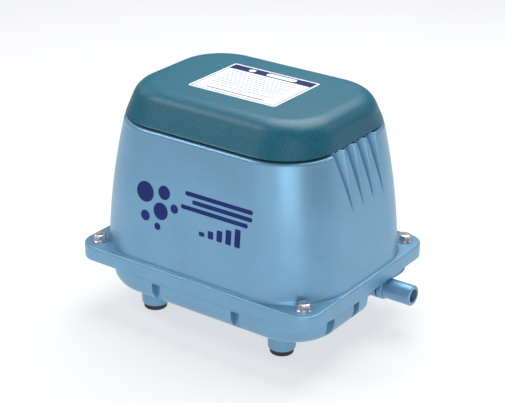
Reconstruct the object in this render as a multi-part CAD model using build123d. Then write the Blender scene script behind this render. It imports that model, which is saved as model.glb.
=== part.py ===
from build123d import *
import os
from math import cos, radians, sin

# Electromagnetic linear-piston air pump: a painted two-part casing whose lower half is the air tank,
# a filter lid on top, and inside a piston pump unit on rubber isolators.
# Millimetres. X runs along the piston towards the outlet, Z is up, and Z = 0 is the floor under the feet.
# Every function works from the centre between the feet. save() then moves the pieces so that the origin
# is the middle of the whole footprint, outlet pipe included.

# ---- casing ----
FLANGE_X, FLANGE_Y, FLANGE_R = 129.0, 100.0, 18.0     # half sizes and corner radius of the casing flange
FLANGE_TOP = 67.5
SKIRT_BOTTOM = 53.0
SKIRT_WALL = 3.0
RIM_RISE = 2.0                                         # raised rim around the foot of the upper wall
WALL_FOOT = (126.1, 95.9, 63.0)                        # upper wall at its foot: half X, half Y, corner radius
WALL_HEAD = (108.0, 84.0, 52.0)                        # and at the shoulder under the lid
WALL_BULGE = 2.1                                       # how far the wall bows out between the two
SHOULDER_TOP = 191.0
WALL = 4.0
DECK_TOP, DECK_BOTTOM = 188.0, 184.0
OVERLAP = 0.5                                          # how far fused volumes run into each other

# ---- intake scoops in the short sides ----
SCOOP_COUNT = 4
SCOOP_PITCH = 17.0
SCOOP_WIDTH = 15.4
SCOOP_DEPTH = 9.0
SCOOP_TIP = 135.0

# ---- filter lid ----
LID_FOOT = (107.0, 83.4, 51.0)
LID_HEAD = (101.0, 66.5, 44.0)
LID_BOTTOM, LID_TOP = 193.0, 221.0
LID_WALL = 3.0
LID_EDGE_R = 17.0
POST_X, POST_Y, POST_R = 60.0, 73.8, 3.0
RIM_X, RIM_Y, RIM_R, RIM_TOP, RIM_WALL = 96.0, 69.0, 38.0, 198.0, 2.5
FILTER_X, FILTER_Y, FILTER_R = 92.0, 65.0, 34.0
FILTER_BOTTOM, FILTER_TOP = 190.0, 203.0
LABEL_X, LABEL_Y, LABEL_THICK = 46.8, 36.0, 0.3

# ---- lower casing and tank ----
TANK_LEFT, TANK_RIGHT, TANK_Y = 110.0, 127.5, 98.5
TANK_BOTTOM = 29.0
TANK_CORNER = 46.0
TANK_EDGE_R = 18.0
INNER_FLANGE_GAP = 0.4
SEAM = 0.3                                             # open joint line under the skirt
INNER_FLANGE_TOP = 61.5
CAVITY_X, CAVITY_Y, CAVITY_R, CAVITY_FLOOR = 102.0, 85.0, 30.0, 33.5
LEDGE = 56.5
PLATE_X, PLATE_Y, PLATE_R = 107.5, 90.0, 34.0
PLATE_GASKET, PLATE_THICK = 1.0, 4.0
PLATE_TOP = LEDGE + PLATE_GASKET + PLATE_THICK
POCKET_WIDTH, POCKET_DEPTH, POCKET_TOP = 9.0, 7.0, 51.0
FRONT_POCKETS = (-36.5, 51.5)
SIDE_POCKETS = (-61.0, -21.0)
BAY_LOW_Y, BAY_HIGH_Y, BAY_WALL = -2.0, 78.0, 108.0

# ---- feet and bolts ----
FOOT_X, FOOT_Y = 72.4, 55.5
BOSS_R, BOSS_TIP_R, BOSS_BOTTOM = 13.5, 12.6, 5.0
RUBBER_R, RUBBER_STUB_R, RUBBER_TOP = 10.9, 8.0, 9.0
FOOT_SCREW_R = 2.5
BOLT_X, BOLT_Y = 113.8, 84.2
BOLT_R, BOLT_AF, BOLT_HEAD = 3.0, 10.0, 5.5
BOLT_HOLE_END, BOLT_TIP = 53.0, 53.6                   # the blind holes stay inside the lower flange
WASHER_R, WASHER_THICK = 7.2, 1.4

# ---- outlet ----
OUTLET_Y, OUTLET_Z = 39.0, 40.0
OUTLET_END = 151.0
PIPE_R, PIPE_BORE = 9.5, 6.5
COLLAR_R, COLLAR_FROM, COLLAR_TO = 11.3, 118.0, 123.0
OUTLET_SEAL_THICK = 1.0

# ---- cord inlet ----
GROMMET_X, GROMMET_Z = -50.0, 90.0
GROMMET_R, GROMMET_BORE, GROMMET_LIP = 8.0, 4.1, 10.5
PAD_RISE = 1.5                                         # flat pad on both sides of the wall around the inlet

# ---- pump unit ----
AXIS_Z = 124.0
BASE_BOTTOM, BASE_TOP = 80.0, 84.0
FRAME_X0, FRAME_X1, FRAME_Y = -62.0, 18.0, 60.0
BASE_LIP = 5.0                                         # how far the base plate passes both bulkheads
BULKHEAD = 5.0
BULKHEAD_Y, BULKHEAD_TOP = 42.0, 164.0
BORE = 30.0                                            # cylinder bore radius
CYLINDER_OUT = 34.0
UNIT_FLANGE_R, UNIT_SCREW_PCR = 43.0, 38.5
CYLINDER_X0, CYLINDER_X1 = 18.0, 60.0
HEAD_GASKET_THICK, VALVE_PLATE_THICK = 0.8, 3.5
HEAD_END = 90.0
PISTON_X0, PISTON_X1, PISTON_GAP = 30.0, 51.0, 0.4
RING_GAP = 0.05                                        # radial running clearance of the piston ring
SHAFT_R = 5.0
GUIDE_R, GUIDE_GAP, GUIDE_X0, GUIDE_X1 = 14.0, 0.05, -82.0, -70.0
CASE_END = -107.0
CORE_X, CORE_HALF, STACK = -22.0, 30.0, 40.0           # laminated cores: centre, half length, stack height
LEG_TIP, LEG_ROOT, YOKE_BACK = 22.0, 42.0, 52.0
OUTER_LEG, CENTRE_LEG = 8.0, 16.0
SPRING_WIRE, SPRING_R, SPRING_TURNS = 2.0, 9.0, 5
ISOLATOR_X, ISOLATOR_Y, ISOLATOR_R = (-57.0, 13.0), 50.0, 9.0

# ---- inside the pump unit ----
SPOUT_X = 78.5
SPOUT_R, SPOUT_BORE = 6.0, 4.2
HOSE_WALL = 2.6
BOBBIN_IN_X, BOBBIN_IN_Z = CENTRE_LEG / 2 + 0.3, STACK / 2 + 0.3
BOBBIN_WALL = 1.2
COIL_X, COIL_Z = 20.0, 32.0
VALVE_PLATE_X0 = CYLINDER_X1 + HEAD_GASKET_THICK
VALVE_PLATE_X1 = VALVE_PLATE_X0 + VALVE_PLATE_THICK
FLAP_THICK = 0.8
PORTS = [(y, z) for y in (-5.0, 5.0) for z in (-4.0, 4.0, 12.0)]
HINGE_DROP = -13.0                                      # flap root below the piston axis
SPOUT_BOTTOM = 78.0
NIPPLE_TOP = 71.0
RING_X0, RING_X1 = 38.0, 46.0
ARMATURE_X0, ARMATURE_X1, ARMATURE_Y, ARMATURE_Z = -44.0, 0.0, 15.0, 17.0
MAGNET_THICK = 4.0
TERMINAL_X, TERMINAL_Y = -92.0, 50.0
LEAD_R = 1.1
EARTH_X, EARTH_Y = -92.0, -50.0

PIPE_OVERHANG = OUTLET_END - FLANGE_X
ORIGIN_SHIFT = -PIPE_OVERHANG / 2


# ---------------------------------------------------------------- helpers
def save(name, piece):
    moved = Pos(ORIGIN_SHIFT, 0, 0) * piece
    export_step(moved, f"parts/{name}.step")


def block(x0, x1, y0, y1, z0, z1):
    centre = Pos((x0 + x1) / 2, (y0 + y1) / 2, (z0 + z1) / 2)
    return centre * Box(x1 - x0, y1 - y0, z1 - z0)


def rod_x(x0, x1, radius, y=0.0, z=AXIS_Z):
    return Pos((x0 + x1) / 2, y, z) * Rot(0, 90, 0) * Cylinder(radius, x1 - x0)


def rod_y(y0, y1, radius, x, z):
    return Pos(x, (y0 + y1) / 2, z) * Rot(90, 0, 0) * Cylinder(radius, y1 - y0)


def rod_z(z0, z1, radius, x=0.0, y=0.0):
    return Pos(x, y, (z0 + z1) / 2) * Cylinder(radius, z1 - z0)


def hexagon_z(z0, z1, across_flats, x, y):
    outline = RegularPolygon(across_flats / 2, 6, major_radius=False)
    return Pos(x, y, z0) * extrude(outline, z1 - z0)


def hexagon_x(x0, x1, across_flats, y, z):
    outline = RegularPolygon(across_flats / 2, 6, major_radius=False)
    return Pos(x0, y, z) * Rot(0, 90, 0) * extrude(outline, x1 - x0)


def slab(half_x, half_y, radius, z0, z1):
    return Pos(0, 0, z0) * extrude(RectangleRounded(2 * half_x, 2 * half_y, radius), z1 - z0)


def four(x, y):
    return [(sx * x, sy * y) for sx in (-1, 1) for sy in (-1, 1)]


def group(pieces):
    return Compound([piece.solid() for piece in pieces])


def edges_between(part, z0, z1):
    return part.edges().filter_by(lambda e: z0 <= e.center().Z <= z1 and abs(e.bounding_box().size.Z) < 0.01)


# ---------------------------------------------------------------- casing
def wall_section(z, inset=0.0):
    t = (z - FLANGE_TOP - RIM_RISE) / (SHOULDER_TOP - FLANGE_TOP - RIM_RISE)
    bow = WALL_BULGE * 4 * t * (1 - t)
    foot_x, foot_y, foot_r = WALL_FOOT
    head_x, head_y, head_r = WALL_HEAD
    half_x = foot_x + (head_x - foot_x) * t + bow - inset
    half_y = foot_y + (head_y - foot_y) * t + bow - inset
    radius = foot_r + (head_r - foot_r) * t - inset
    return Pos(0, 0, z) * RectangleRounded(2 * half_x, 2 * half_y, radius)


def wall_half_x(z):
    t = (z - FLANGE_TOP - RIM_RISE) / (SHOULDER_TOP - FLANGE_TOP - RIM_RISE)
    return WALL_FOOT[0] + (WALL_HEAD[0] - WALL_FOOT[0]) * t + WALL_BULGE * 4 * t * (1 - t)


def wall_half_y(z):
    t = (z - FLANGE_TOP - RIM_RISE) / (SHOULDER_TOP - FLANGE_TOP - RIM_RISE)
    return WALL_FOOT[1] + (WALL_HEAD[1] - WALL_FOOT[1]) * t + WALL_BULGE * 4 * t * (1 - t)


def wall_body(z0, z1, inset=0.0, steps=4):
    heights = [z0 + (z1 - z0) * k / steps for k in range(steps + 1)]
    return loft([wall_section(z, inset) for z in heights])


def scoop(index, side):
    """One intake groove: a deep front edge, a floor that rises to the rear edge, and a pointed foot."""
    rear = -SCOOP_PITCH + SCOOP_PITCH * index
    face_top = wall_half_x(SHOULDER_TOP) + 3.0
    face_tip = wall_half_x(SCOOP_TIP) + 3.0
    top = SHOULDER_TOP + 1.0
    lip = face_top - 3.0
    top_outline = Polyline(
        (face_top, rear + 1.0, top),
        (face_top, rear - SCOOP_WIDTH, top),
        (lip - SCOOP_DEPTH, rear - SCOOP_WIDTH + 2.0, top),
        close=True,
    )
    tip_outline = Polyline(
        (face_tip, rear + 0.2, SCOOP_TIP),
        (face_tip, rear - 0.8, SCOOP_TIP),
        (face_tip - 3.2, rear - 0.3, SCOOP_TIP),
        close=True,
    )
    cut = loft([make_face(top_outline), make_face(tip_outline)], ruled=True)
    if side < 0:
        cut = mirror(cut, about=Plane.YZ)
    return cut


def scoop_backing(side):
    """Thicker wall behind the scoops, so that they stay closed towards the chamber."""
    head_x = wall_half_x(SHOULDER_TOP) - SCOOP_DEPTH - WALL
    foot_x = wall_half_x(SCOOP_TIP) - WALL - 0.5
    low, high = SCOOP_TIP - 5, DECK_BOTTOM + OVERLAP
    outline = Polyline((head_x, 0, high), (foot_x, 0, low), (FLANGE_X, 0, low), (FLANGE_X, 0, high), close=True)
    rear_edge = SCOOP_PITCH * (SCOOP_COUNT - 2) + WALL
    front_edge = -SCOOP_PITCH - SCOOP_WIDTH - WALL
    backing = Pos(0, rear_edge, 0) * extrude(make_face(outline), rear_edge - front_edge, dir=(0, -1, 0))
    backing = backing & wall_body(SCOOP_TIP - 8, DECK_BOTTOM + OVERLAP, 1.0)
    if side < 0:
        backing = mirror(backing, about=Plane.YZ)
    return backing


def upper_housing():
    flange = slab(FLANGE_X, FLANGE_Y, FLANGE_R, SKIRT_BOTTOM, FLANGE_TOP)
    flange = fillet(edges_between(flange, FLANGE_TOP - 0.1, FLANGE_TOP + 0.1), 1.5)
    foot_x, foot_y, foot_r = WALL_FOOT
    rim = slab(foot_x + 0.6, foot_y + 0.6, foot_r, FLANGE_TOP - OVERLAP, FLANGE_TOP + RIM_RISE)
    shell = flange + rim + wall_body(FLANGE_TOP + RIM_RISE, SHOULDER_TOP)
    # the hollow: nest for the lower flange, seat for the gasket, chamber, and the recess over the deck
    shell -= slab(FLANGE_X - SKIRT_WALL, FLANGE_Y - SKIRT_WALL, FLANGE_R - SKIRT_WALL, SKIRT_BOTTOM - 1, 62.5)
    shell -= wall_body(FLANGE_TOP + RIM_RISE, DECK_BOTTOM, WALL)
    shell -= slab(foot_x - WALL - 0.5, foot_y - WALL - 0.5, foot_r - WALL, 61.5, FLANGE_TOP + RIM_RISE + 0.5)
    head_x, head_y, head_r = WALL_HEAD
    shell -= slab(head_x - 5.5, head_y - 5.5, head_r - 5.5, DECK_TOP, SHOULDER_TOP + 1)
    for side in (-1, 1):
        shell += scoop_backing(side)
        for index in range(SCOOP_COUNT):
            shell -= scoop(index, side)
    # filter rim, filter ribs, intake slots and sockets for the lid's posts
    outer = slab(RIM_X, RIM_Y, RIM_R, DECK_TOP - OVERLAP, RIM_TOP)
    inner = slab(RIM_X - RIM_WALL, RIM_Y - RIM_WALL, RIM_R - RIM_WALL, DECK_TOP - 1, RIM_TOP + 1)
    shell += outer - inner
    for x in (-75, -45, -15, 15, 45, 75):
        shell += block(x - 1, x + 1, -60, 60, DECK_TOP - OVERLAP, FILTER_BOTTOM)
    for x in (-60, -30, 0, 30, 60):
        shell -= slot_z(x, 0, 7, 46, DECK_BOTTOM - 1, FILTER_BOTTOM + 1)
    for x, y in four(POST_X, POST_Y):
        shell -= rod_z(DECK_TOP - 3, DECK_TOP + 1, POST_R + 0.4, x, y)
    for x, y in four(BOLT_X, BOLT_Y):
        shell -= rod_z(SKIRT_BOTTOM, FLANGE_TOP + 1, BOLT_R + 0.3, x, y)
    face = wall_half_y(GROMMET_Z)
    pad = rod_y(face - WALL - PAD_RISE, face + PAD_RISE, GROMMET_LIP + 2.5, GROMMET_X, GROMMET_Z)
    shell += fillet(pad.edges().group_by(Axis.Y)[-1], 0.8)
    shell -= rod_y(60, 110, GROMMET_R, GROMMET_X, GROMMET_Z)
    return shell.solid()


def slot_z(x, y, radius, half_length, z0, z1):
    outline = Rot(0, 0, 90) * SlotCenterToCenter(2 * half_length, 2 * radius)
    return Pos(x, y, z0) * extrude(outline, z1 - z0)


def tank_outline(inset, z0, z1):
    left, right, half_y = TANK_LEFT - inset, TANK_RIGHT - inset, TANK_Y - inset
    outline = Pos((right - left) / 2, 0) * RectangleRounded(left + right, 2 * half_y, TANK_CORNER - inset)
    return Pos(0, 0, z0) * extrude(outline, z1 - z0)


def lower_housing():
    bowl = tank_outline(0, TANK_BOTTOM, SKIRT_BOTTOM - SEAM)
    bowl = fillet(edges_between(bowl, TANK_BOTTOM - 0.1, TANK_BOTTOM + 0.1), TANK_EDGE_R)
    for x in FRONT_POCKETS:
        for side in (-1, 1):
            low, high = sorted((side * (TANK_Y - POCKET_DEPTH), side * (TANK_Y + 5)))
            bowl -= block(x - POCKET_WIDTH / 2, x + POCKET_WIDTH / 2, low, high, TANK_BOTTOM - 1, POCKET_TOP)
    for y in SIDE_POCKETS:
        bowl -= block(TANK_RIGHT - POCKET_DEPTH, TANK_RIGHT + 5, y - POCKET_WIDTH / 2, y + POCKET_WIDTH / 2,
                      TANK_BOTTOM - 1, POCKET_TOP)
    bay = block(BAY_WALL, TANK_RIGHT + 5, BAY_LOW_Y, BAY_HIGH_Y, TANK_BOTTOM - 1, SKIRT_BOTTOM - 1.5)
    upright = bay.edges().filter_by(Axis.Z).group_by(Axis.X)[0]
    bowl -= fillet(upright, 8)
    gap = SKIRT_WALL + INNER_FLANGE_GAP
    body = bowl + slab(FLANGE_X - gap, FLANGE_Y - gap, FLANGE_R - gap, SKIRT_BOTTOM - 1, INNER_FLANGE_TOP)
    for x, y in four(FOOT_X, FOOT_Y):
        boss = Pos(x, y, (BOSS_BOTTOM + TANK_BOTTOM + OVERLAP) / 2) * Cone(
            BOSS_TIP_R, BOSS_R, TANK_BOTTOM + OVERLAP - BOSS_BOTTOM)
        body += fillet(edges_between(boss, BOSS_BOTTOM - 0.1, BOSS_BOTTOM + 0.1), 1.5)
    body += rod_x(BAY_WALL - OVERLAP, COLLAR_FROM - OUTLET_SEAL_THICK, COLLAR_R, OUTLET_Y, OUTLET_Z)
    # tank cavity, seat for the plate
    body -= slab(CAVITY_X, CAVITY_Y, CAVITY_R, CAVITY_FLOOR, INNER_FLANGE_TOP + 1)
    body -= slab(PLATE_X + 0.4, PLATE_Y + 0.4, PLATE_R, LEDGE, INNER_FLANGE_TOP + 1)
    body -= rod_x(CAVITY_X - 5, COLLAR_FROM, PIPE_R, OUTLET_Y, OUTLET_Z)
    for x, y in four(FOOT_X, FOOT_Y):
        body -= rod_z(BOSS_BOTTOM - 1, RUBBER_TOP, RUBBER_STUB_R, x, y)
        body -= rod_z(RUBBER_TOP - 1, 24, FOOT_SCREW_R, x, y)
    for x, y in four(BOLT_X, BOLT_Y):
        body -= rod_z(BOLT_HOLE_END, INNER_FLANGE_TOP + 1, BOLT_R, x, y)
    for x, y in plate_screw_places():
        body -= rod_z(LEDGE - 8, LEDGE + 1, 2.0, x, y)
    return body.solid()


def housing_gasket():
    gap = SKIRT_WALL + 1.0
    ring = slab(FLANGE_X - gap, FLANGE_Y - gap, FLANGE_R - gap, INNER_FLANGE_TOP, 62.5)
    ring -= slab(PLATE_X + 2.0, PLATE_Y + 1.5, PLATE_R, INNER_FLANGE_TOP - 1, 63.5)
    for x, y in four(BOLT_X, BOLT_Y):
        ring -= rod_z(INNER_FLANGE_TOP - 1, 63.5, BOLT_R + 0.3, x, y)
    return ring


def plate_screw_places():
    long_side = [(x, side * (CAVITY_Y + 2.5)) for x in (-60, 0, 60) for side in (-1, 1)]
    short_side = [(side * (CAVITY_X + 2.7), 0) for side in (-1, 1)]
    return long_side + short_side


def tank_gasket():
    ring = slab(PLATE_X, PLATE_Y, PLATE_R, LEDGE, LEDGE + PLATE_GASKET)
    ring -= slab(CAVITY_X, CAVITY_Y, CAVITY_R, LEDGE - 1, LEDGE + PLATE_GASKET + 1)
    for x, y in plate_screw_places():
        ring -= rod_z(LEDGE - 1, LEDGE + 3, 2.2, x, y)
    return ring


def tank_plate():
    plate = slab(PLATE_X, PLATE_Y, PLATE_R, LEDGE + PLATE_GASKET, PLATE_TOP)
    for x, y in plate_screw_places():
        plate -= rod_z(LEDGE, PLATE_TOP + 1, 2.2, x, y)
    for x in ISOLATOR_X:
        for y in (-ISOLATOR_Y, ISOLATOR_Y):
            plate -= rod_z(LEDGE, PLATE_TOP + 1, 2.5, x, y)
    plate -= rod_z(PLATE_TOP - 3.5, PLATE_TOP + 1, 2.0, EARTH_X, EARTH_Y)
    return plate - rod_z(LEDGE, PLATE_TOP + 1, 7.0, SPOUT_X, 0)


def pan_screw(x, y, seat, shank_r, head_r, head_height, length):
    head = rod_z(seat, seat + head_height, head_r, x, y)
    head = fillet(head.edges().group_by(Axis.Z)[-1], head_height * 0.6)
    screw = head + rod_z(seat - length, seat + 0.2, shank_r, x, y)
    slot = block(x - head_r, x + head_r, y - 0.5, y + 0.5, seat + head_height * 0.5, seat + head_height + 1)
    cross = block(x - 0.5, x + 0.5, y - head_r, y + head_r, seat + head_height * 0.5, seat + head_height + 1)
    return screw - slot - cross


def tank_plate_screws():
    return group([pan_screw(x, y, PLATE_TOP, 2.0, 3.6, 2.4, 11) for x, y in plate_screw_places()])


def housing_bolts():
    seat = FLANGE_TOP + WASHER_THICK
    bolts = []
    for x, y in four(BOLT_X, BOLT_Y):
        head = hexagon_z(seat, seat + BOLT_HEAD, BOLT_AF, x, y)
        dome = Pos(x, y, seat + BOLT_HEAD - 9.2) * Sphere(10.2)
        head = head & dome
        flange = rod_z(seat, seat + 1.2, BOLT_AF * 0.6, x, y)
        bolts.append(head + flange + rod_z(BOLT_TIP, seat + 0.5, BOLT_R, x, y))
    return group(bolts)


def bolt_washers():
    washers = []
    for x, y in four(BOLT_X, BOLT_Y):
        ring = rod_z(FLANGE_TOP, FLANGE_TOP + WASHER_THICK, WASHER_R, x, y)
        ring = chamfer(ring.edges().group_by(Axis.Z)[-1], 0.4)
        washers.append(ring - rod_z(FLANGE_TOP - 1, FLANGE_TOP + 3, BOLT_R, x, y))
    return group(washers)


def rubber_feet():
    feet = []
    for x, y in four(FOOT_X, FOOT_Y):
        disc = rod_z(0, BOSS_BOTTOM, RUBBER_R, x, y)
        disc = fillet(disc.edges().group_by(Axis.Z)[0], 1.2)
        foot = disc + rod_z(BOSS_BOTTOM - 0.2, RUBBER_TOP, RUBBER_STUB_R, x, y)
        foot -= rod_z(-1, 3.6, 5.2, x, y)
        feet.append(foot - rod_z(-1, RUBBER_TOP + 1, FOOT_SCREW_R, x, y))
    return group(feet)


def foot_screws():
    screws = []
    for x, y in four(FOOT_X, FOOT_Y):
        head = rod_z(1.4, 3.6, 4.8, x, y)
        head = chamfer(head.edges().group_by(Axis.Z)[0], 0.5)
        screw = head + rod_z(3.4, 22, FOOT_SCREW_R, x, y)
        screw -= block(x - 3.2, x + 3.2, y - 0.6, y + 0.6, 1, 2.5)
        screws.append(screw - block(x - 0.6, x + 0.6, y - 3.2, y + 3.2, 1, 2.5))
    return group(screws)


def outlet_pipe():
    pipe = rod_x(CAVITY_X, OUTLET_END, PIPE_R, OUTLET_Y, OUTLET_Z)
    pipe = chamfer(pipe.edges().group_by(Axis.X)[-1], 0.8)
    collar = rod_x(COLLAR_FROM, COLLAR_TO, COLLAR_R, OUTLET_Y, OUTLET_Z)
    collar = fillet(collar.edges().filter_by(GeomType.CIRCLE), 0.8)
    return pipe + collar - rod_x(CAVITY_X - 1, OUTLET_END + 1, PIPE_BORE, OUTLET_Y, OUTLET_Z)


def outlet_seal():
    start = COLLAR_FROM - OUTLET_SEAL_THICK
    ring = rod_x(start, COLLAR_FROM, COLLAR_R - 0.6, OUTLET_Y, OUTLET_Z)
    return ring - rod_x(start - 1, COLLAR_FROM + 1, PIPE_R, OUTLET_Y, OUTLET_Z)


def cord_grommet():
    face = wall_half_y(GROMMET_Z)
    outside, inside = face + PAD_RISE, face - WALL - PAD_RISE
    lip = rod_y(outside, outside + 2.8, GROMMET_LIP, GROMMET_X, GROMMET_Z)
    lip = fillet(lip.edges().group_by(Axis.Y)[-1], 1.2)
    inner_lip = rod_y(inside - 2.5, inside, GROMMET_LIP, GROMMET_X, GROMMET_Z)
    neck = rod_y(inside - 1, outside + 1, GROMMET_R, GROMMET_X, GROMMET_Z)
    return lip + neck + inner_lip - rod_y(face - 20, face + 20, GROMMET_BORE, GROMMET_X, GROMMET_Z)


# ---------------------------------------------------------------- filter lid
def lid_body(inset, top, edge_r):
    foot_x, foot_y, foot_r = LID_FOOT
    head_x, head_y, head_r = LID_HEAD
    foot = RectangleRounded(2 * (foot_x - inset), 2 * (foot_y - inset), foot_r - inset)
    head = RectangleRounded(2 * (head_x - inset), 2 * (head_y - inset), head_r - inset)
    body = loft([Pos(0, 0, LID_BOTTOM) * foot, Pos(0, 0, top) * head])
    return fillet(edges_between(body, top - 0.1, top + 0.1), edge_r)


def filter_cover():
    outer = lid_body(0, LID_TOP, LID_EDGE_R)
    inner = lid_body(LID_WALL, LID_TOP - LID_WALL, LID_EDGE_R - LID_WALL)
    shell = outer - inner
    for x, y in four(POST_X, POST_Y):
        post = rod_z(DECK_TOP - 2.6, LID_TOP - LID_WALL, POST_R, x, y)
        keep = outer + block(-FLANGE_X, FLANGE_X, -FLANGE_Y, FLANGE_Y, 170, LID_BOTTOM + 0.01)
        shell += post & keep
    return shell.solid()


def cover_label():
    return slab(LABEL_X, LABEL_Y, 2.0, LID_TOP, LID_TOP + LABEL_THICK)


def filter_element():
    return slab(FILTER_X, FILTER_Y, FILTER_R, FILTER_BOTTOM, FILTER_TOP)


# ---------------------------------------------------------------- pump unit


def circle_places(radius, count, start=45.0):
    angles = [radians(start + 360 * k / count) for k in range(count)]
    return [(radius * cos(a), AXIS_Z + radius * sin(a)) for a in angles]


def motor_frame():
    half_length = (FRAME_X1 - FRAME_X0) / 2 + BASE_LIP
    frame = slab_at((FRAME_X0 + FRAME_X1) / 2, 0, half_length, FRAME_Y, 8, BASE_BOTTOM, BASE_TOP)
    frame -= block(FRAME_X1 - 0.1, FRAME_X1 + 10, -22, 22, BASE_BOTTOM - 1, BASE_TOP + 1)
    front = block(FRAME_X1 - BULKHEAD, FRAME_X1, -BULKHEAD_Y, BULKHEAD_Y, BASE_TOP - 1, BULKHEAD_TOP)
    rear = block(FRAME_X0, FRAME_X0 + BULKHEAD, -30, 30, BASE_TOP - 1, AXIS_Z + 30)
    frame += front + rear
    for x, y in core_bolt_places():
        frame += rod_z(BASE_TOP - 1, AXIS_Z - STACK / 2, 4.5, x, y)
    frame -= rod_x(FRAME_X1 - 10, FRAME_X1 + 1, BORE, 0, AXIS_Z)
    frame -= rod_x(FRAME_X0 - 1, FRAME_X0 + 10, 16, 0, AXIS_Z)
    for y, z in circle_places(UNIT_SCREW_PCR, 4):
        frame -= rod_x(FRAME_X1 - 8, FRAME_X1 + 1, 2.0, y, z)
    for y, z in circle_places(23, 4):
        frame -= rod_x(FRAME_X0 - 1, FRAME_X0 + 8, 2.0, y, z)
    for x in ISOLATOR_X:
        for y in (-ISOLATOR_Y, ISOLATOR_Y):
            frame -= rod_z(BASE_BOTTOM - 1, BASE_TOP + 1, 2.5, x, y)
    for x, y in core_bolt_places():
        frame -= rod_z(BASE_TOP + 2, AXIS_Z, 2.0, x, y)
    return frame.solid()


def slab_at(x, y, half_x, half_y, radius, z0, z1):
    return Pos(x, y, 0) * slab(half_x, half_y, radius, z0, z1)


def core_bolt_places():
    return [(CORE_X + side_x * (CORE_HALF - 4.5), side_y * (YOKE_BACK - 5))
            for side_x in (-1, 1) for side_y in (-1, 1)]


def core_laminations():
    """Two E-shaped stacks of steel sheet, one on each side of the armature."""
    stacks = []
    low, high = AXIS_Z - STACK / 2, AXIS_Z + STACK / 2
    for side in (-1, 1):
        def bar(x0, x1, y0, y1):
            near, far = sorted((side * y0, side * y1))
            return block(x0, x1, near, far, low, high)
        left, right = CORE_X - CORE_HALF, CORE_X + CORE_HALF
        stack = bar(left, right, LEG_ROOT, YOKE_BACK)
        stack += bar(left, left + OUTER_LEG, LEG_TIP, LEG_ROOT)
        stack += bar(right - OUTER_LEG, right, LEG_TIP, LEG_ROOT)
        stack += bar(CORE_X - CENTRE_LEG / 2, CORE_X + CENTRE_LEG / 2, LEG_TIP, LEG_ROOT)
        for x, y in core_bolt_places():
            if y * side > 0:
                stack -= rod_z(low - 1, high + 1, 2.2, x, y)
        stacks.append(stack)
    return group(stacks)


def core_bolts():
    top = AXIS_Z + STACK / 2
    bolts = []
    for x, y in core_bolt_places():
        head = hexagon_z(top, top + 2.8, 7.0, x, y)
        bolts.append(head + rod_z(BASE_TOP + 4, top + 0.5, 2.0, x, y))
    return group(bolts)


def winding_block(half_x, half_z, y0, y1, radius, side):
    near, far = sorted((side * y0, side * y1))
    outline = RectangleRounded(2 * half_x, 2 * half_z, radius)
    return Pos(CORE_X, far, AXIS_Z) * Rot(90, 0, 0) * extrude(outline, far - near)


def bobbins():
    formers = []
    tube_x, tube_z = BOBBIN_IN_X + BOBBIN_WALL, BOBBIN_IN_Z + BOBBIN_WALL
    for side in (-1, 1):
        former = winding_block(tube_x, tube_z, LEG_TIP + 1, LEG_ROOT - 0.3, 1.4, side)
        former += winding_block(COIL_X + 1, COIL_Z + 1, LEG_TIP + 1, LEG_TIP + 2.2, 3, side)
        former += winding_block(COIL_X + 1, COIL_Z + 1, LEG_ROOT - 1.5, LEG_ROOT - 0.3, 3, side)
        former -= winding_block(BOBBIN_IN_X, BOBBIN_IN_Z, LEG_TIP - 2, LEG_ROOT + 2, 0.3, side)
        formers.append(former)
    return group(formers)


def coils():
    windings = []
    tube_x, tube_z = BOBBIN_IN_X + BOBBIN_WALL, BOBBIN_IN_Z + BOBBIN_WALL
    for side in (-1, 1):
        winding = winding_block(COIL_X, COIL_Z, LEG_TIP + 2.2, LEG_ROOT - 1.5, 8, side)
        windings.append(winding - winding_block(tube_x, tube_z, LEG_TIP - 2, LEG_ROOT + 2, 1.4, side))
    return group(windings)


def thermal_protectors():
    """One cut-out lies flat on each winding, above the core."""
    top = AXIS_Z + COIL_Z
    return group([slab_at(CORE_X, side * 31, 8, 4.5, 1.5, top, top + 4) for side in (-1, 1)])


def cylinder():
    sleeve = rod_x(CYLINDER_X0, CYLINDER_X1, CYLINDER_OUT)
    sleeve += rod_x(CYLINDER_X0, CYLINDER_X0 + 4, UNIT_FLANGE_R)
    sleeve += rod_x(CYLINDER_X1 - 4, CYLINDER_X1, UNIT_FLANGE_R)
    for x in (28, 33, 38, 43, 48):
        sleeve += rod_x(x, x + 1.6, CYLINDER_OUT + 5)
    sleeve -= rod_x(CYLINDER_X0 - 1, CYLINDER_X1 + 1, BORE)
    for y, z in circle_places(UNIT_SCREW_PCR, 4):
        sleeve -= rod_x(CYLINDER_X0 - 1, CYLINDER_X0 + 8, 2.2, y, z)
        sleeve -= rod_x(CYLINDER_X0 + 4, CYLINDER_X1 - 4, 5.0, y, z)
        sleeve -= rod_x(CYLINDER_X1 - 8, CYLINDER_X1 + 1, 2.0, y, z)
    return sleeve


def screws_x(places, seat, shank_r, head_af, head_height, length, direction):
    """Hexagon screws along X. direction +1 drives them towards +X."""
    screws = []
    for y, z in places:
        head = hexagon_x(*sorted((seat, seat - direction * head_height)), head_af, y, z)
        ends = sorted((seat - direction * 0.5, seat + direction * length))
        screws.append(head + rod_x(*ends, shank_r, y, z))
    return group(screws)


def cylinder_screws():
    return screws_x(circle_places(UNIT_SCREW_PCR, 4), CYLINDER_X0 + 4, 2.0, 7.0, 2.8, 8.5, -1)


def head_gasket():
    ring = rod_x(CYLINDER_X1, VALVE_PLATE_X0, UNIT_FLANGE_R) - rod_x(CYLINDER_X1 - 1, VALVE_PLATE_X0 + 1, BORE)
    for y, z in circle_places(UNIT_SCREW_PCR, 4):
        ring -= rod_x(CYLINDER_X1 - 1, VALVE_PLATE_X0 + 1, 2.2, y, z)
    return ring


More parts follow.
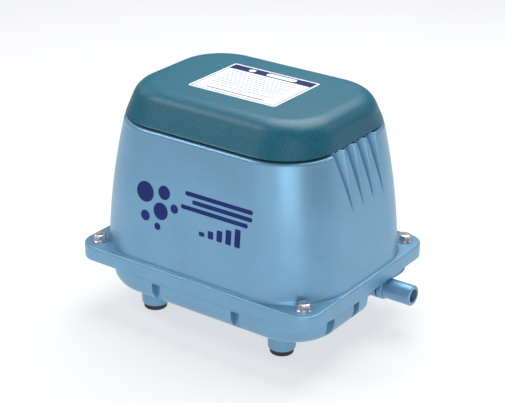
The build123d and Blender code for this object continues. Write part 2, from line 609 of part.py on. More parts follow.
def valve_plate():
    plate = rod_x(VALVE_PLATE_X0, VALVE_PLATE_X1, UNIT_FLANGE_R)
    for y, z in circle_places(UNIT_SCREW_PCR, 4):
        plate -= rod_x(VALVE_PLATE_X0 - 1, VALVE_PLATE_X1 + 1, 2.2, y, z)
    for y, z in PORTS:
        plate -= rod_x(VALVE_PLATE_X0 - 1, VALVE_PLATE_X1 + 1, 3.0, y, AXIS_Z + z)
    return plate - rod_x(VALVE_PLATE_X0 - 1, VALVE_PLATE_X1 + 1, 1.5, 0, AXIS_Z + HINGE_DROP)


def flap(face, gap):
    """A thin flexible flap on the +X side of a face: the free tongue above its root, clamped by a screw."""
    start, end = face + gap, face + gap + FLAP_THICK
    return slab_x(start, end, 9.5, HINGE_DROP + 4.5, 16.5)


def slab_x(x0, x1, half_y, z_low, z_high, radius=3.0):
    outline = RectangleRounded(z_high - z_low, 2 * half_y, radius)
    centre = Pos(x0, 0, AXIS_Z + (z_low + z_high) / 2)
    return centre * Rot(0, 90, 0) * extrude(outline, x1 - x0)


def clamp_bar(face):
    """The stiff root of a flap with its screw hole."""
    bar = slab_x(face, face + FLAP_THICK + 0.8, 9.5, HINGE_DROP - 4.0, HINGE_DROP + 4.0, 2.0)
    return bar - rod_x(face - 1, face + 4, 1.5, 0, AXIS_Z + HINGE_DROP)


def flap_screw(face):
    seat = face + FLAP_THICK + 0.8
    head = rod_x(seat, seat + 1.6, 2.8, 0, AXIS_Z + HINGE_DROP)
    screw = head + rod_x(face - 3.0, seat + 0.3, 1.5, 0, AXIS_Z + HINGE_DROP)
    return screw - block(seat + 0.9, seat + 3, -0.4, 0.4, AXIS_Z + HINGE_DROP - 4, AXIS_Z + HINGE_DROP + 4)


def head_cover():
    cup = rod_x(VALVE_PLATE_X1, HEAD_END, BORE + 3)
    cup = fillet(cup.edges().group_by(Axis.X)[-1], 4)
    cup += rod_x(VALVE_PLATE_X1, VALVE_PLATE_X1 + 4, UNIT_FLANGE_R)
    cup += rod_z(SPOUT_BOTTOM, AXIS_Z - BORE, SPOUT_R, SPOUT_X, 0)
    cup -= rod_x(VALVE_PLATE_X1 - 1, HEAD_END - 3, BORE)
    cup -= rod_z(SPOUT_BOTTOM - 1, AXIS_Z - BORE + 2, SPOUT_BORE, SPOUT_X, 0)
    for y, z in circle_places(UNIT_SCREW_PCR, 4):
        cup -= rod_x(VALVE_PLATE_X1 - 1, VALVE_PLATE_X1 + 5, 2.2, y, z)
    return cup


def head_screws():
    return screws_x(circle_places(UNIT_SCREW_PCR, 4), VALVE_PLATE_X1 + 4, 2.0, 7.0, 2.8, 14.0, -1)


def tank_inlet():
    nipple = rod_z(LEDGE - 1, NIPPLE_TOP, SPOUT_R, SPOUT_X, 0)
    nipple += hexagon_z(PLATE_TOP, PLATE_TOP + 3, 15.0, SPOUT_X, 0)
    nipple += rod_z(LEDGE + PLATE_GASKET, PLATE_TOP + 0.5, 7.0, SPOUT_X, 0)
    return nipple - rod_z(LEDGE - 2, NIPPLE_TOP + 1, SPOUT_BORE, SPOUT_X, 0)


def discharge_hose():
    low, high = PLATE_TOP + 3.4, SPOUT_BOTTOM + 8
    hose = rod_z(low, high, SPOUT_R + HOSE_WALL, SPOUT_X, 0)
    return hose - rod_z(low - 1, high + 1, SPOUT_R, SPOUT_X, 0)


def hose_clamps():
    clamps = []
    outer = SPOUT_R + HOSE_WALL
    for z in (66.0, 81.0):
        band = rod_z(z, z + 3, outer + 0.8, SPOUT_X, 0)
        ear = block(SPOUT_X + outer, SPOUT_X + outer + 4.5, -1.8, 1.8, z, z + 3)
        clamps.append(band + ear - rod_z(z - 1, z + 4, outer, SPOUT_X, 0))
    return group(clamps)


def piston():
    body = rod_x(PISTON_X0, PISTON_X1, BORE - PISTON_GAP)
    body -= rod_x(PISTON_X0 - 1, PISTON_X1 - 5, BORE - 4)
    body += rod_x(PISTON_X0 - 2, PISTON_X1 - 3, 10)
    body -= rod_x(PISTON_X0 - 5, PISTON_X1 - 6, SHAFT_R)
    groove = rod_x(RING_X0, RING_X1, BORE + 1) - rod_x(RING_X0 - 1, RING_X1 + 1, BORE - 2.5)
    body -= groove
    for y, z in PORTS:
        if abs(z) + abs(y) > 10:
            body -= rod_x(PISTON_X1 - 8, PISTON_X1 + 1, 2.6, y, AXIS_Z + z)
    return body - rod_x(PISTON_X1 - 4, PISTON_X1 + 1, 1.5, 0, AXIS_Z + HINGE_DROP)


def piston_ring():
    ring = rod_x(RING_X0 + 0.05, RING_X1 - 0.05, BORE - RING_GAP)
    return ring - rod_x(RING_X0 - 1, RING_X1 + 1, BORE - 2.5)


def piston_shaft():
    shaft = rod_x(GUIDE_X0 - 4, PISTON_X1 - 6, SHAFT_R)
    return chamfer(shaft.edges().filter_by(GeomType.CIRCLE), 0.6)


def armature_core():
    core = block(ARMATURE_X0, ARMATURE_X1, -ARMATURE_Y, ARMATURE_Y, AXIS_Z - ARMATURE_Z, AXIS_Z + ARMATURE_Z)
    core = fillet(core.edges().filter_by(Axis.X), 1.0)
    return core - rod_x(ARMATURE_X0 - 1, ARMATURE_X1 + 1, SHAFT_R)


def armature_magnets():
    magnets = []
    for side in (-1, 1):
        near, far = sorted((side * ARMATURE_Y, side * (ARMATURE_Y + MAGNET_THICK)))
        for x0 in (ARMATURE_X0 + 2, ARMATURE_X1 - 20):
            magnets.append(block(x0, x0 + 18, near, far, AXIS_Z - 16, AXIS_Z + 16))
    return group(magnets)


def shaft_nuts():
    nuts = []
    for x0 in (ARMATURE_X0 - 5, ARMATURE_X1):
        nuts.append(hexagon_x(x0, x0 + 5, 16.0, 0, AXIS_Z) - rod_x(x0 - 1, x0 + 6, SHAFT_R))
    return group(nuts)


def guide_piston():
    guide = rod_x(GUIDE_X0, GUIDE_X1, GUIDE_R)
    guide = chamfer(guide.edges().filter_by(GeomType.CIRCLE), 0.5)
    return guide - rod_x(GUIDE_X0 - 1, GUIDE_X1 + 1, SHAFT_R)


def rear_case():
    case = rod_x(CASE_END, FRAME_X0, 18.0) + rod_x(FRAME_X0 - 4, FRAME_X0, 28.0)
    case -= rod_x(CASE_END + 3, FRAME_X0 + 1, GUIDE_R + GUIDE_GAP)
    for y, z in circle_places(23, 4):
        case -= rod_x(FRAME_X0 - 5, FRAME_X0 + 1, 2.2, y, z)
    return case


def rear_case_screws():
    return screws_x(circle_places(23, 4), FRAME_X0 - 4, 2.0, 7.0, 2.8, 8.0, 1)


def return_spring():
    start, end = CASE_END + 3, GUIDE_X0
    pitch = (end - start - SPRING_WIRE) / SPRING_TURNS
    coil_path = Helix(pitch, pitch * SPRING_TURNS, SPRING_R)
    wire = sweep(Plane(coil_path @ 0, z_dir=coil_path % 0) * Circle(SPRING_WIRE / 2), path=coil_path)
    return Pos(start + SPRING_WIRE / 2, 0, AXIS_Z) * Rot(0, 90, 0) * wire


def isolators():
    mounts = []
    for x in ISOLATOR_X:
        for y in (-ISOLATOR_Y, ISOLATOR_Y):
            body = rod_z(PLATE_TOP, BASE_BOTTOM, ISOLATOR_R, x, y)
            waist = Pos(x, y, (PLATE_TOP + BASE_BOTTOM) / 2) * Torus(ISOLATOR_R + 3.5, 5.0)
            body -= waist
            stud = rod_z(PLATE_TOP - PLATE_THICK, BASE_TOP + 6.5, 2.5, x, y)
            mounts.append(body + stud)
    return group(mounts)


def isolator_nuts():
    nuts = []
    for x in ISOLATOR_X:
        for y in (-ISOLATOR_Y, ISOLATOR_Y):
            nut = hexagon_z(BASE_TOP, BASE_TOP + 4, 8.0, x, y)
            nuts.append(nut - rod_z(BASE_TOP - 1, BASE_TOP + 5, 2.5, x, y))
    return group(nuts)


def terminal_block():
    base = slab_at(TERMINAL_X, TERMINAL_Y, 8, 20, 1.5, PLATE_TOP, PLATE_TOP + 10)
    for y in (-10, 0, 10):
        base += block(TERMINAL_X - 5, TERMINAL_X + 5, TERMINAL_Y + y - 4, TERMINAL_Y + y + 4,
                      PLATE_TOP + 9, PLATE_TOP + 15)
        base -= rod_z(PLATE_TOP + 4, PLATE_TOP + 16, 2.6, TERMINAL_X, TERMINAL_Y + y)
    return base


def terminal_screws():
    return group([pan_screw(TERMINAL_X, TERMINAL_Y + y, PLATE_TOP + 11, 1.5, 2.5, 1.8, 6.5) for y in (-10, 0, 10)])


def coil_leads():
    """Two insulated leads from the windings down to the terminal block."""
    leads = []
    start_z = AXIS_Z - COIL_Z - 0.1
    run_z = BASE_TOP + 3.5
    entry_z = PLATE_TOP + 6
    for start_x, start_y, pass_y, landing in ((-34.0, 34.0, 40.0, 60.0), (-39.0, 29.0, 35.0, 50.0)):
        route = FilletPolyline(
            (start_x, start_y, start_z),
            (start_x, start_y, run_z),
            (FRAME_X0 + 2, pass_y, run_z + 0.5),
            (TERMINAL_X + 16, landing, run_z - 3),
            (TERMINAL_X + 16, landing, entry_z),
            (TERMINAL_X + 8.1, landing, entry_z),
            radius=1.8,
        )
        section = Plane(route @ 0, z_dir=route % 0) * Circle(LEAD_R)
        leads.append(sweep(section, path=route))
    return group(leads)


def earth_screw():
    screw = pan_screw(EARTH_X, EARTH_Y, PLATE_TOP + 1.0, 2.0, 4.0, 2.6, 4.0)
    return screw + rod_z(PLATE_TOP, PLATE_TOP + 1.1, 5.0, EARTH_X, EARTH_Y)


def main():
    os.makedirs("parts", exist_ok=True)
    save("filter_cover", filter_cover())
    save("cover_label", cover_label())
    save("filter_element", filter_element())
    save("upper_housing", upper_housing())
    save("lower_housing", lower_housing())
    save("housing_gasket", housing_gasket())
    save("tank_gasket", tank_gasket())
    save("tank_plate", tank_plate())
    save("tank_plate_screws", tank_plate_screws())
    save("housing_bolts", housing_bolts())
    save("bolt_washers", bolt_washers())
    save("rubber_feet", rubber_feet())
    save("foot_screws", foot_screws())
    save("outlet_pipe", outlet_pipe())
    save("outlet_seal", outlet_seal())
    save("cord_grommet", cord_grommet())
    save("motor_frame", motor_frame())
    save("core_laminations", core_laminations())
    save("core_bolts", core_bolts())
    save("bobbins", bobbins())
    save("coils", coils())
    save("thermal_protectors", thermal_protectors())
    save("cylinder", cylinder())
    save("cylinder_screws", cylinder_screws())
    save("head_gasket", head_gasket())
    save("valve_plate", valve_plate())
    save("discharge_valve", flap(VALVE_PLATE_X1, 0.05))
    save("discharge_valve_clamp", clamp_bar(VALVE_PLATE_X1))
    save("discharge_valve_screw", flap_screw(VALVE_PLATE_X1))
    save("head_cover", head_cover())
    save("head_screws", head_screws())
    save("tank_inlet", tank_inlet())
    save("discharge_hose", discharge_hose())
    save("hose_clamps", hose_clamps())
    save("piston", piston())
    save("piston_ring", piston_ring())
    save("suction_valve", flap(PISTON_X1, 0.05))
    save("suction_valve_clamp", clamp_bar(PISTON_X1))
    save("suction_valve_screw", flap_screw(PISTON_X1))
    save("piston_shaft", piston_shaft())
    save("armature_core", armature_core())
    save("armature_magnets", armature_magnets())
    save("shaft_nuts", shaft_nuts())
    save("guide_piston", guide_piston())
    save("rear_case", rear_case())
    save("rear_case_screws", rear_case_screws())
    save("return_spring", return_spring())
    save("isolators", isolators())
    save("isolator_nuts", isolator_nuts())
    save("terminal_block", terminal_block())
    save("terminal_screws", terminal_screws())
    save("coil_leads", coil_leads())
    save("earth_screw", earth_screw())


if __name__ == "__main__":
    main()
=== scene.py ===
import math
import random

import bmesh
import bpy
from mathutils import Matrix, Vector


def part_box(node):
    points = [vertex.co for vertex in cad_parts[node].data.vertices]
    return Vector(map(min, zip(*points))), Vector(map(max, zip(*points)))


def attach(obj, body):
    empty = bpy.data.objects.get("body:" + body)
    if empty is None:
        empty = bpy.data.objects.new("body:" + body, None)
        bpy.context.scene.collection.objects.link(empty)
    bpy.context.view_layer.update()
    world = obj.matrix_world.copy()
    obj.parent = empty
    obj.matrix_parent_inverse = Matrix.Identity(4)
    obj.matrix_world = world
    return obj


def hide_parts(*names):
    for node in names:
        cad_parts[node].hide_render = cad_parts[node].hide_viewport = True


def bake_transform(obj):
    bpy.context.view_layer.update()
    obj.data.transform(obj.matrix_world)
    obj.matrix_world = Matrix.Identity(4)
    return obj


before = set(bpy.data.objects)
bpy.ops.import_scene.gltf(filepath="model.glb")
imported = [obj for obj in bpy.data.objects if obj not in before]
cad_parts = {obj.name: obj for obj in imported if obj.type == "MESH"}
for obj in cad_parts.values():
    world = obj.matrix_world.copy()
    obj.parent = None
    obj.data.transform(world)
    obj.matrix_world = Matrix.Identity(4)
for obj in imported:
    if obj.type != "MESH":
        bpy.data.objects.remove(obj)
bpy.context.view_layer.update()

bl_info = {
    "name": "Linear-piston air pump",
    "version": (1, 0, 0),
    "blender": (4, 5, 0),
    "location": "3D View > Sidebar > Air pump",
    "description": "Builds the visible pieces and finishes of a pond air pump around its packed frame",
    "category": "Object",
}

MM = 0.001
# The casing's own centre lies beside the row origin,
# because the outlet pipe widens the footprint on one side.
FEET_LOW, FEET_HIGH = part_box("rubber_feet")
CENTRE_X = (FEET_LOW.x + FEET_HIGH.x) / 2

# ---- casing, millimetres from the casing's centre: half X, half Y, corner radius ----
FLANGE = (129.0, 100.0, 18.0)
FLANGE_TOP, SKIRT_BOTTOM, SKIRT_WALL = 67.5, 53.0, 3.0
RIM = (126.9, 96.7, 63.6)
RIM_TOP = 69.6
WALL_FOOT, WALL_HEAD, WALL_BULGE = (126.1, 95.9, 63.0), (108.0, 84.0, 52.0), 2.1
WALL_FOOT_Z, SHOULDER_TOP, WALL = 69.5, 191.0, 4.0
RECESS = 5.5                        # from the outer wall face to the recess over the deck
DECK_TOP, DECK_BOTTOM = 188.0, 184.0
SKIRT_LIP, FLANGE_EDGE = 1.5, 1.6   # rounding of the skirt's lower edge and of the flange's top edge
NEST_TOP = 62.5                     # where the skirt's inside meets the underside of the flange
CHAMBER_BACKING = 3.0               # how far the chamber's wall keeps behind the scoops
CHAMBER_LEVELS = (184, 175, 165, 155, 145, 135, 120, 100, 72)
# (outset, rise) steps up the raised rim and the cove into the wall, and (outset, drop) steps into the recess
RIM_STEPS = ((0.45, 0.0), (0.2, 0.1), (0.05, 0.3), (0.0, 0.6),
             (-0.01, 1.0), (-0.1, 1.4), (-0.25, 1.7), (-0.35, 1.85))
COVE_STEPS = ((0.38, -0.1), (0.26, 0.3), (0.14, 1.0), (0.05, 2.0), (0.0, 3.2))
RECESS_STEPS = ((0.7, 0.0), (0.2, 0.2), (0.0, 0.7))
# coarse below the scoops, then one ring for each millimetre up to the shoulder
WALL_LEVELS = [74, 80, 88, 96, 104, 112, 118, 123, 127, 130, 132, 133.5]
WALL_LEVELS += [134.6 + 1.0 * k for k in range(52)]
# ---- intake scoops ----
SCOOP_REARS = (-17.5, -0.6, 16.3, 32.8)
SCOOP_WIDTHS = (18.5, 15.8, 15.4, 15.2)
SCOOP_TIP, SCOOP_TIP_WIDTH = 135.0, 0.9
GROOVE_STEPS = (0.0, 0.02, 0.04, 0.07, 0.1, 0.35, 0.58, 0.66, 0.74, 0.82, 0.88, 0.91, 0.935, 0.96, 0.98, 1.0)
# ---- lid ----
LID_FOOT, LID_HEAD = (107.0, 83.4, 51.0), (101.0, 66.5, 44.0)
LID_BOTTOM, LID_TOP, LID_WALL = 193.0, 221.0, 3.0
POST_X, POST_Y, POST_R = 60.0, 73.8, 3.0
FILTER_RIM, FILTER_RIM_TOP, FILTER_RIM_WALL = (96.0, 69.0, 38.0), 198.0, 2.5
FILTER_PAD, FILTER_BOTTOM, FILTER_TOP = (92.0, 65.0, 34.0), 190.0, 203.0
LABEL_X, LABEL_Y, LABEL_TOP = 46.8, 36.0, 221.3


def at(x, y, z):
    """A point given in millimetres from the casing's centre, in the row frame."""
    return Vector((CENTRE_X + x * MM, y * MM, z * MM))


# ---------------------------------------------------------------- settings
class PumpSizes(bpy.types.PropertyGroup):
    shoulder_radius: bpy.props.FloatProperty(
        name="Shoulder radius", description="Rounding of the casing's top edge under the lid",
        default=3.6 * MM, min=0.001, max=0.005, unit="LENGTH", precision=4)
    scoop_depth: bpy.props.FloatProperty(
        name="Scoop depth", description="Depth of the intake scoops at the top",
        default=11.5 * MM, min=0.004, max=0.012, unit="LENGTH", precision=4)
    lid_edge_radius: bpy.props.FloatProperty(
        name="Lid edge radius", description="Rounding between the lid's sides and its top",
        default=17.0 * MM, min=0.008, max=0.02, unit="LENGTH", precision=4)
    enamel_grain: bpy.props.FloatProperty(
        name="Enamel grain", description="Distance between the waves of the enamel's skin",
        default=1.6 * MM, min=0.0005, max=0.005, unit="LENGTH", precision=4)
    lid_grain: bpy.props.FloatProperty(
        name="Lid grain", description="Distance between the pits of the lid's moulded texture",
        default=1.1 * MM, min=0.0004, max=0.004, unit="LENGTH", precision=4)


class PumpColours(bpy.types.PropertyGroup):
    enamel: bpy.props.StringProperty(name="Enamel", description="Casing enamel, sRGB hex", default="#74a3c2")
    lid: bpy.props.StringProperty(name="Lid", description="Moulded lid, sRGB hex", default="#0a5568")
    ink: bpy.props.StringProperty(name="Ink", description="Printed marks, sRGB hex", default="#15256a")
    film: bpy.props.StringProperty(name="Label film", description="Label film, sRGB hex", default="#e2e4ea")
    rubber: bpy.props.StringProperty(
        name="Rubber", description="Feet and grommet, sRGB hex", default="#1b2134")
    plating: bpy.props.StringProperty(
        name="Plating", description="Zinc plating, sRGB hex", default="#e8dfe4")
    floor: bpy.props.StringProperty(name="Floor", description="Studio floor, sRGB hex", default="#929396")


def sizes():
    return bpy.context.scene.pump_sizes


def colours():
    return bpy.context.scene.pump_colours


# ---------------------------------------------------------------- outlines and lofts
SIDE_REACH = 45.0                   # how far the side columns run from the middle of each short side
CORNER_STEPS, LONG_STEPS = 18, 22


def side_x(shape, y):
    """Outer X of a rounded rectangle at this Y."""
    half_x, half_y, radius = shape
    past = abs(y) - (half_y - radius)
    if past <= 0:
        return half_x
    return half_x - radius + math.sqrt(max(radius * radius - past * past, 0.0))


def corner_points(shape, start_y):
    """One corner, from the end of the side columns to the start of the long side."""
    half_x, half_y, radius = shape
    cx, cy = half_x - radius, half_y - radius
    first = math.asin(min(max(start_y - cy, 0.0) / radius, 1.0))
    lead = 4 if start_y < cy else 0
    points = [(half_x, start_y + (cy - start_y) * k / 4) for k in range(1, lead + 1)]
    steps = CORNER_STEPS - lead
    for k in range(1, steps + 1):
        a = first + (math.pi / 2 - first) * k / steps
        points.append((cx + radius * math.cos(a), cy + radius * math.sin(a)))
    return points


def ring(shape, z, columns=None):
    """A closed rounded rectangle at one height, with the same number of points at any size.
    columns are (x, y, z) points that take the place of the plain right side."""
    if columns is None:
        ys = [SIDE_REACH * (k / 12 - 1) for k in range(25)]
        columns = [(side_x(shape, y), y, z) for y in ys]
    corner = [(x, y, z) for x, y in corner_points(shape, SIDE_REACH)]
    end = shape[0] - shape[2]
    long_side = [(end - 2 * end * k / LONG_STEPS, shape[1], z) for k in range(1, LONG_STEPS)]
    half = corner + long_side + [(-x, y, h) for x, y, h in reversed(corner)]
    left = [(-x, y, h) for x, y, h in reversed(columns)]
    front = [(-x, -y, h) for x, y, h in half]
    return columns + half + left + front


def loft(rings, closed=False, cap_start=False, cap_end=False):
    """Vertices and faces through rings of equal point count."""
    count = len(rings[0])
    faces = []
    for k in range(len(rings) if closed else len(rings) - 1):
        a, b = k * count, ((k + 1) % len(rings)) * count
        faces += [(a + i, a + (i + 1) % count, b + (i + 1) % count, b + i) for i in range(count)]
    if cap_start:
        faces.append(tuple(reversed(range(count))))
    if cap_end:
        faces.append(tuple((len(rings) - 1) * count + i for i in range(count)))
    return [p for r in rings for p in r], faces


def turned(profile, centre, steps=40):
    """A closed profile of (radius, height) turned about Z."""
    rings = []
    for radius, height in profile:
        rings.append([(centre[0] + radius * math.cos(2 * math.pi * k / steps),
                       centre[1] + radius * math.sin(2 * math.pi * k / steps), height) for k in range(steps)])
    return loft(rings, cap_start=True, cap_end=True)


def inset(shape, by):
    return shape[0] - by, shape[1] - by, shape[2] - by


def placed(name, mesh):
    """A new object in the scene."""
    obj = bpy.data.objects.new(name, mesh)
    bpy.context.scene.collection.objects.link(obj)
    return obj


def baked(curve):
    """The mesh of a curve, with the curve's own object removed again."""
    shape = placed(curve.name, curve)
    bpy.context.view_layer.update()
    mesh = bpy.data.meshes.new_from_object(shape.evaluated_get(bpy.context.evaluated_depsgraph_get()))
    bpy.data.objects.remove(shape)
    return mesh


def piece(name, parts, material, body, smooth_angle=32.0):
    """One object from (points, faces) parts in casing millimetres, riding on a body."""
    vertices, faces = [], []
    for points, part_faces in parts:
        base = len(vertices)
        vertices += [at(*p) for p in points]
        faces += [tuple(base + i for i in face) for face in part_faces]
    mesh = bpy.data.meshes.new(name)
    mesh.from_pydata(vertices, [], faces)
    bm = bmesh.new()
    bm.from_mesh(mesh)
    bmesh.ops.remove_doubles(bm, verts=bm.verts, dist=2e-6)
    bmesh.ops.dissolve_degenerate(bm, edges=bm.edges, dist=1e-7)
    bmesh.ops.recalc_face_normals(bm, faces=bm.faces)
    bm.to_mesh(mesh)
    bm.free()
    return dress(placed(name, mesh), material, body, smooth_angle)


def dress(obj, material, body, smooth_angle=32.0):
    """Smooth shading with sharp edges kept, the finish, the body and the slot."""
    obj.data.polygons.foreach_set("use_smooth", [True] * len(obj.data.polygons))
    obj.data.set_sharp_from_angle(angle=math.radians(smooth_angle))
    obj.data.materials.clear()
    obj.data.materials.append(material)
    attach(obj, body)
    return obj


def carry_over(material, *nodes):
    """CAD nodes that keep their shape and take this finish."""
    for name in nodes:
        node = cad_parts[name]
        for k in range(max(len(node.material_slots), 1)):
            if k < len(node.material_slots):
                node.material_slots[k].material = material
            else:
                node.data.materials.append(material)


# ---------------------------------------------------------------- finishes
def linear(hex_colour):
    """An sRGB hex colour as linear RGBA."""
    parts = [int(hex_colour[i:i + 2], 16) / 255 for i in (1, 3, 5)]
    return tuple(c / 12.92 if c <= 0.04045 else ((c + 0.055) / 1.055) ** 2.4 for c in parts) + (1.0,)


def shaded(hex_colour, factor):
    """The same colour, lighter or darker."""
    parts = [min(255, max(0, round(int(hex_colour[i:i + 2], 16) * factor))) for i in (1, 3, 5)]
    return "#" + "".join(f"{p:02x}" for p in parts)


def add_node(tree, kind, settings=None, inputs=None):
    """A node with its properties and its input values. An input given as (node, output) is a link."""
    node = tree.nodes.new(kind)
    for key, value in (settings or {}).items():
        setattr(node, key, value)
    for key, value in (inputs or {}).items():
        if isinstance(value, tuple) and isinstance(value[0], bpy.types.Node):
            tree.links.new(value[0].outputs[value[1]], node.inputs[key])
        else:
            node.inputs[key].default_value = value
    return node


def new_finish(name, **shader_values):
    """An empty material with its shader and its object coordinates."""
    material = bpy.data.materials.new(name)
    material.use_nodes = True
    tree = material.node_tree
    tree.nodes.clear()
    sockets = {key.replace("_", " "): value for key, value in shader_values.items()}
    shader = add_node(tree, "ShaderNodeBsdfPrincipled", inputs=sockets)
    add_node(tree, "ShaderNodeOutputMaterial", inputs={"Surface": (shader, "BSDF")})
    coords = add_node(tree, "ShaderNodeTexCoord")
    return material, tree, shader, coords


def tint_between(tree, shader, source, dark, light, low=0.35, high=0.65):
    """Base colour that runs from dark to light as the source does."""
    spread = add_node(tree, "ShaderNodeMapRange", inputs={"Value": source, "From Min": low, "From Max": high})
    mix = add_node(tree, "ShaderNodeMix", {"data_type": "RGBA"}, {
        "Factor": (spread, "Result"), 6: linear(dark), 7: linear(light)})
    tree.links.new(mix.outputs[2], shader.inputs["Base Color"])


def rough_between(tree, shader, source, smooth, rough):
    """Roughness that runs from smooth to rough as the source does."""
    spread = add_node(tree, "ShaderNodeMapRange", inputs={
        "Value": source, "From Min": 0.3, "From Max": 0.7, "To Min": smooth, "To Max": rough})
    tree.links.new(spread.outputs["Result"], shader.inputs["Roughness"])


def relief(tree, shader, source, depth, strength=1.0, under=None):
    """Bump of this depth in metres."""
    bump = add_node(tree, "ShaderNodeBump", inputs={
        "Height": source, "Distance": depth, "Strength": strength})
    if under is not None:
        tree.links.new(under.outputs["Normal"], bump.inputs["Normal"])
    tree.links.new(bump.outputs["Normal"], shader.inputs["Normal"])
    return bump


def speckled(name, dark, light, grain, depth, smooth, rough, strength=0.6, **shader_values):
    """A finish with one even grain: colour, gloss and relief all follow a noise of this spacing in metres."""
    material, tree, shader, coords = new_finish(name, **shader_values)
    fine = add_node(tree, "ShaderNodeTexNoise", inputs={
        "Vector": (coords, "Object"), "Scale": 1 / grain, "Detail": 3.0, "Roughness": 0.6})
    broad = add_node(tree, "ShaderNodeTexNoise", inputs={
        "Vector": (coords, "Object"), "Scale": 1 / (grain * 14), "Detail": 2.0})
    tint_between(tree, shader, (broad, "Fac"), dark, light)
    rough_between(tree, shader, (fine, "Fac"), smooth, rough)
    relief(tree, shader, (fine, "Fac"), depth, strength)
    return material


def enamel():
    """Stoved enamel with fine aluminium flake, sprayed on die-cast aluminium. The flake gives the eye a silky
    sheen that brightens towards each light, over a faint orange peel and slow changes of tone where the coat
    lies thicker."""
    if "flake_enamel_light_blue" in bpy.data.materials:
        return bpy.data.materials["flake_enamel_light_blue"]
    base = colours().enamel
    material, tree, shader, coords = new_finish(
        "flake_enamel_light_blue", IOR=1.5, Metallic=0.55, Coat_Weight=0.12, Coat_Roughness=0.3, Coat_IOR=1.5)
    # orange peel has waves of about 1.6 mm
    peel = add_node(tree, "ShaderNodeTexNoise", inputs={
        "Vector": (coords, "Object"), "Scale": 1 / sizes().enamel_grain, "Detail": 2.0, "Roughness": 0.5})
    # clouds of 35 mm, from the thickness of the coat
    cloud = add_node(tree, "ShaderNodeTexNoise", inputs={
        "Vector": (coords, "Object"), "Scale": 1 / (35 * MM), "Detail": 3.0})
    # dust nibs of 0.7 mm that the spray leaves
    nibs = add_node(tree, "ShaderNodeTexNoise", inputs={
        "Vector": (coords, "Object"), "Scale": 1 / (0.7 * MM), "Detail": 1.0})
    tint_between(tree, shader, (cloud, "Fac"), shaded(base, 0.975), shaded(base, 1.02), 0.3, 0.7)
    rough_between(tree, shader, (peel, "Fac"), 0.33, 0.44)
    first = relief(tree, shader, (nibs, "Fac"), 0.02 * MM, 0.5)
    relief(tree, shader, (peel, "Fac"), 0.05 * MM, 0.55, under=first)
    return material


def moulded_abs():
    """ABS moulded in a spark-eroded tool. The fine pits break the gloss, so the lid looks dry and slightly
    mottled, with only a broad soft highlight on its rounded edge."""
    base = colours().lid
    material, tree, shader, coords = new_finish("spark_eroded_abs_teal", IOR=1.46)
    # tool grain of about 1.1 mm, coarser than the real 0.3 mm so that it shows
    pits = add_node(tree, "ShaderNodeTexNoise", inputs={
        "Vector": (coords, "Object"), "Scale": 1 / sizes().lid_grain, "Detail": 4.0, "Roughness": 0.65})
    cells = add_node(tree, "ShaderNodeTexVoronoi", inputs={
        "Vector": (coords, "Object"), "Scale": 1 / (1.5 * sizes().lid_grain)})
    tint_between(tree, shader, (pits, "Fac"), shaded(base, 0.72), shaded(base, 1.25), 0.3, 0.7)
    rough_between(tree, shader, (pits, "Fac"), 0.34, 0.5)
    first = relief(tree, shader, (cells, "Distance"), 0.06 * MM, 0.35)
    relief(tree, shader, (pits, "Fac"), 0.06 * MM, 0.6, under=first)
    return material


def wound(name, dark, light, pitch, depth, direction, **shader_values):
    """Turns of wire or sheets laid side by side at this pitch in metres."""
    material, tree, shader, coords = new_finish(name, **shader_values)
    # a wave texture has one band for each unit of scale times 2 pi over 20
    bands = add_node(tree, "ShaderNodeTexWave", {"bands_direction": direction}, {
        "Vector": (coords, "Object"), "Scale": math.pi / (10 * pitch), "Distortion": 0.4, "Detail": 1.0})
    patches = add_node(tree, "ShaderNodeTexNoise", inputs={
        "Vector": (coords, "Object"), "Scale": 1 / (6 * MM)})
    # the colour follows the bands that raise the relief: dark joints between sheets, tool marks on brass, and
    # on wire a painted shade between the turns and a painted highlight on their tops
    tint_between(tree, shader, (bands, "Fac"), dark, light, 0.0, 1.0)
    rough_between(tree, shader, (patches, "Fac"), 0.3, 0.5)
    relief(tree, shader, (bands, "Fac"), depth, 0.8)
    return material


def foam():
    """Open-cell polyurethane foam. The cut cells look like a dark, soft sponge with no gloss at all."""
    material, tree, shader, coords = new_finish(
        "open_cell_foam_charcoal", Roughness=0.95, IOR=1.45, Sheen_Weight=0.15)
    # cells of 1.3 mm
    cells = add_node(tree, "ShaderNodeTexVoronoi", {"feature": "F1"}, {
        "Vector": (coords, "Object"), "Scale": 1 / (1.3 * MM)})
    walls = add_node(tree, "ShaderNodeTexNoise", inputs={
        "Vector": (coords, "Object"), "Scale": 1 / (2.6 * MM), "Detail": 4.0})
    # the colour darkens from the raised cell middles to the sunken cell edges: painted shade in the pores
    tint_between(tree, shader, (cells, "Distance"), "#4b4f52", "#1c1e20", 0.1, 0.7)
    first = relief(tree, shader, (walls, "Fac"), 0.4 * MM, 0.6)
    bump = relief(tree, shader, (cells, "Distance"), 0.5 * MM, 0.9, under=first)
    bump.invert = True
    return material


# ---------------------------------------------------------------- casing
def wall_shape(z):
    """Half X, half Y and corner radius of the bowed wall's outside at this height."""
    t = (z - WALL_FOOT_Z) / (SHOULDER_TOP - WALL_FOOT_Z)
    bow = WALL_BULGE * 4 * t * (1 - t)
    return (WALL_FOOT[0] + (WALL_HEAD[0] - WALL_FOOT[0]) * t + bow,
            WALL_FOOT[1] + (WALL_HEAD[1] - WALL_FOOT[1]) * t + bow,
            WALL_FOOT[2] + (WALL_HEAD[2] - WALL_FOOT[2]) * t)


def groove_share(s):
    """Depth across a scoop: a sheer front side, a flat floor and a steep rear side that rounds over
    at its edge."""
    sheer, climb, ease = 0.10, 0.58, 0.26
    front = min(s / sheer, 1.0)
    rest = min((1 - s) / (1 - climb), 1.0)
    rear = rest * rest / (2 * ease) if rest < ease else rest - ease / 2
    return front * front * (3 - 2 * front) * rear / (1 - ease / 2)


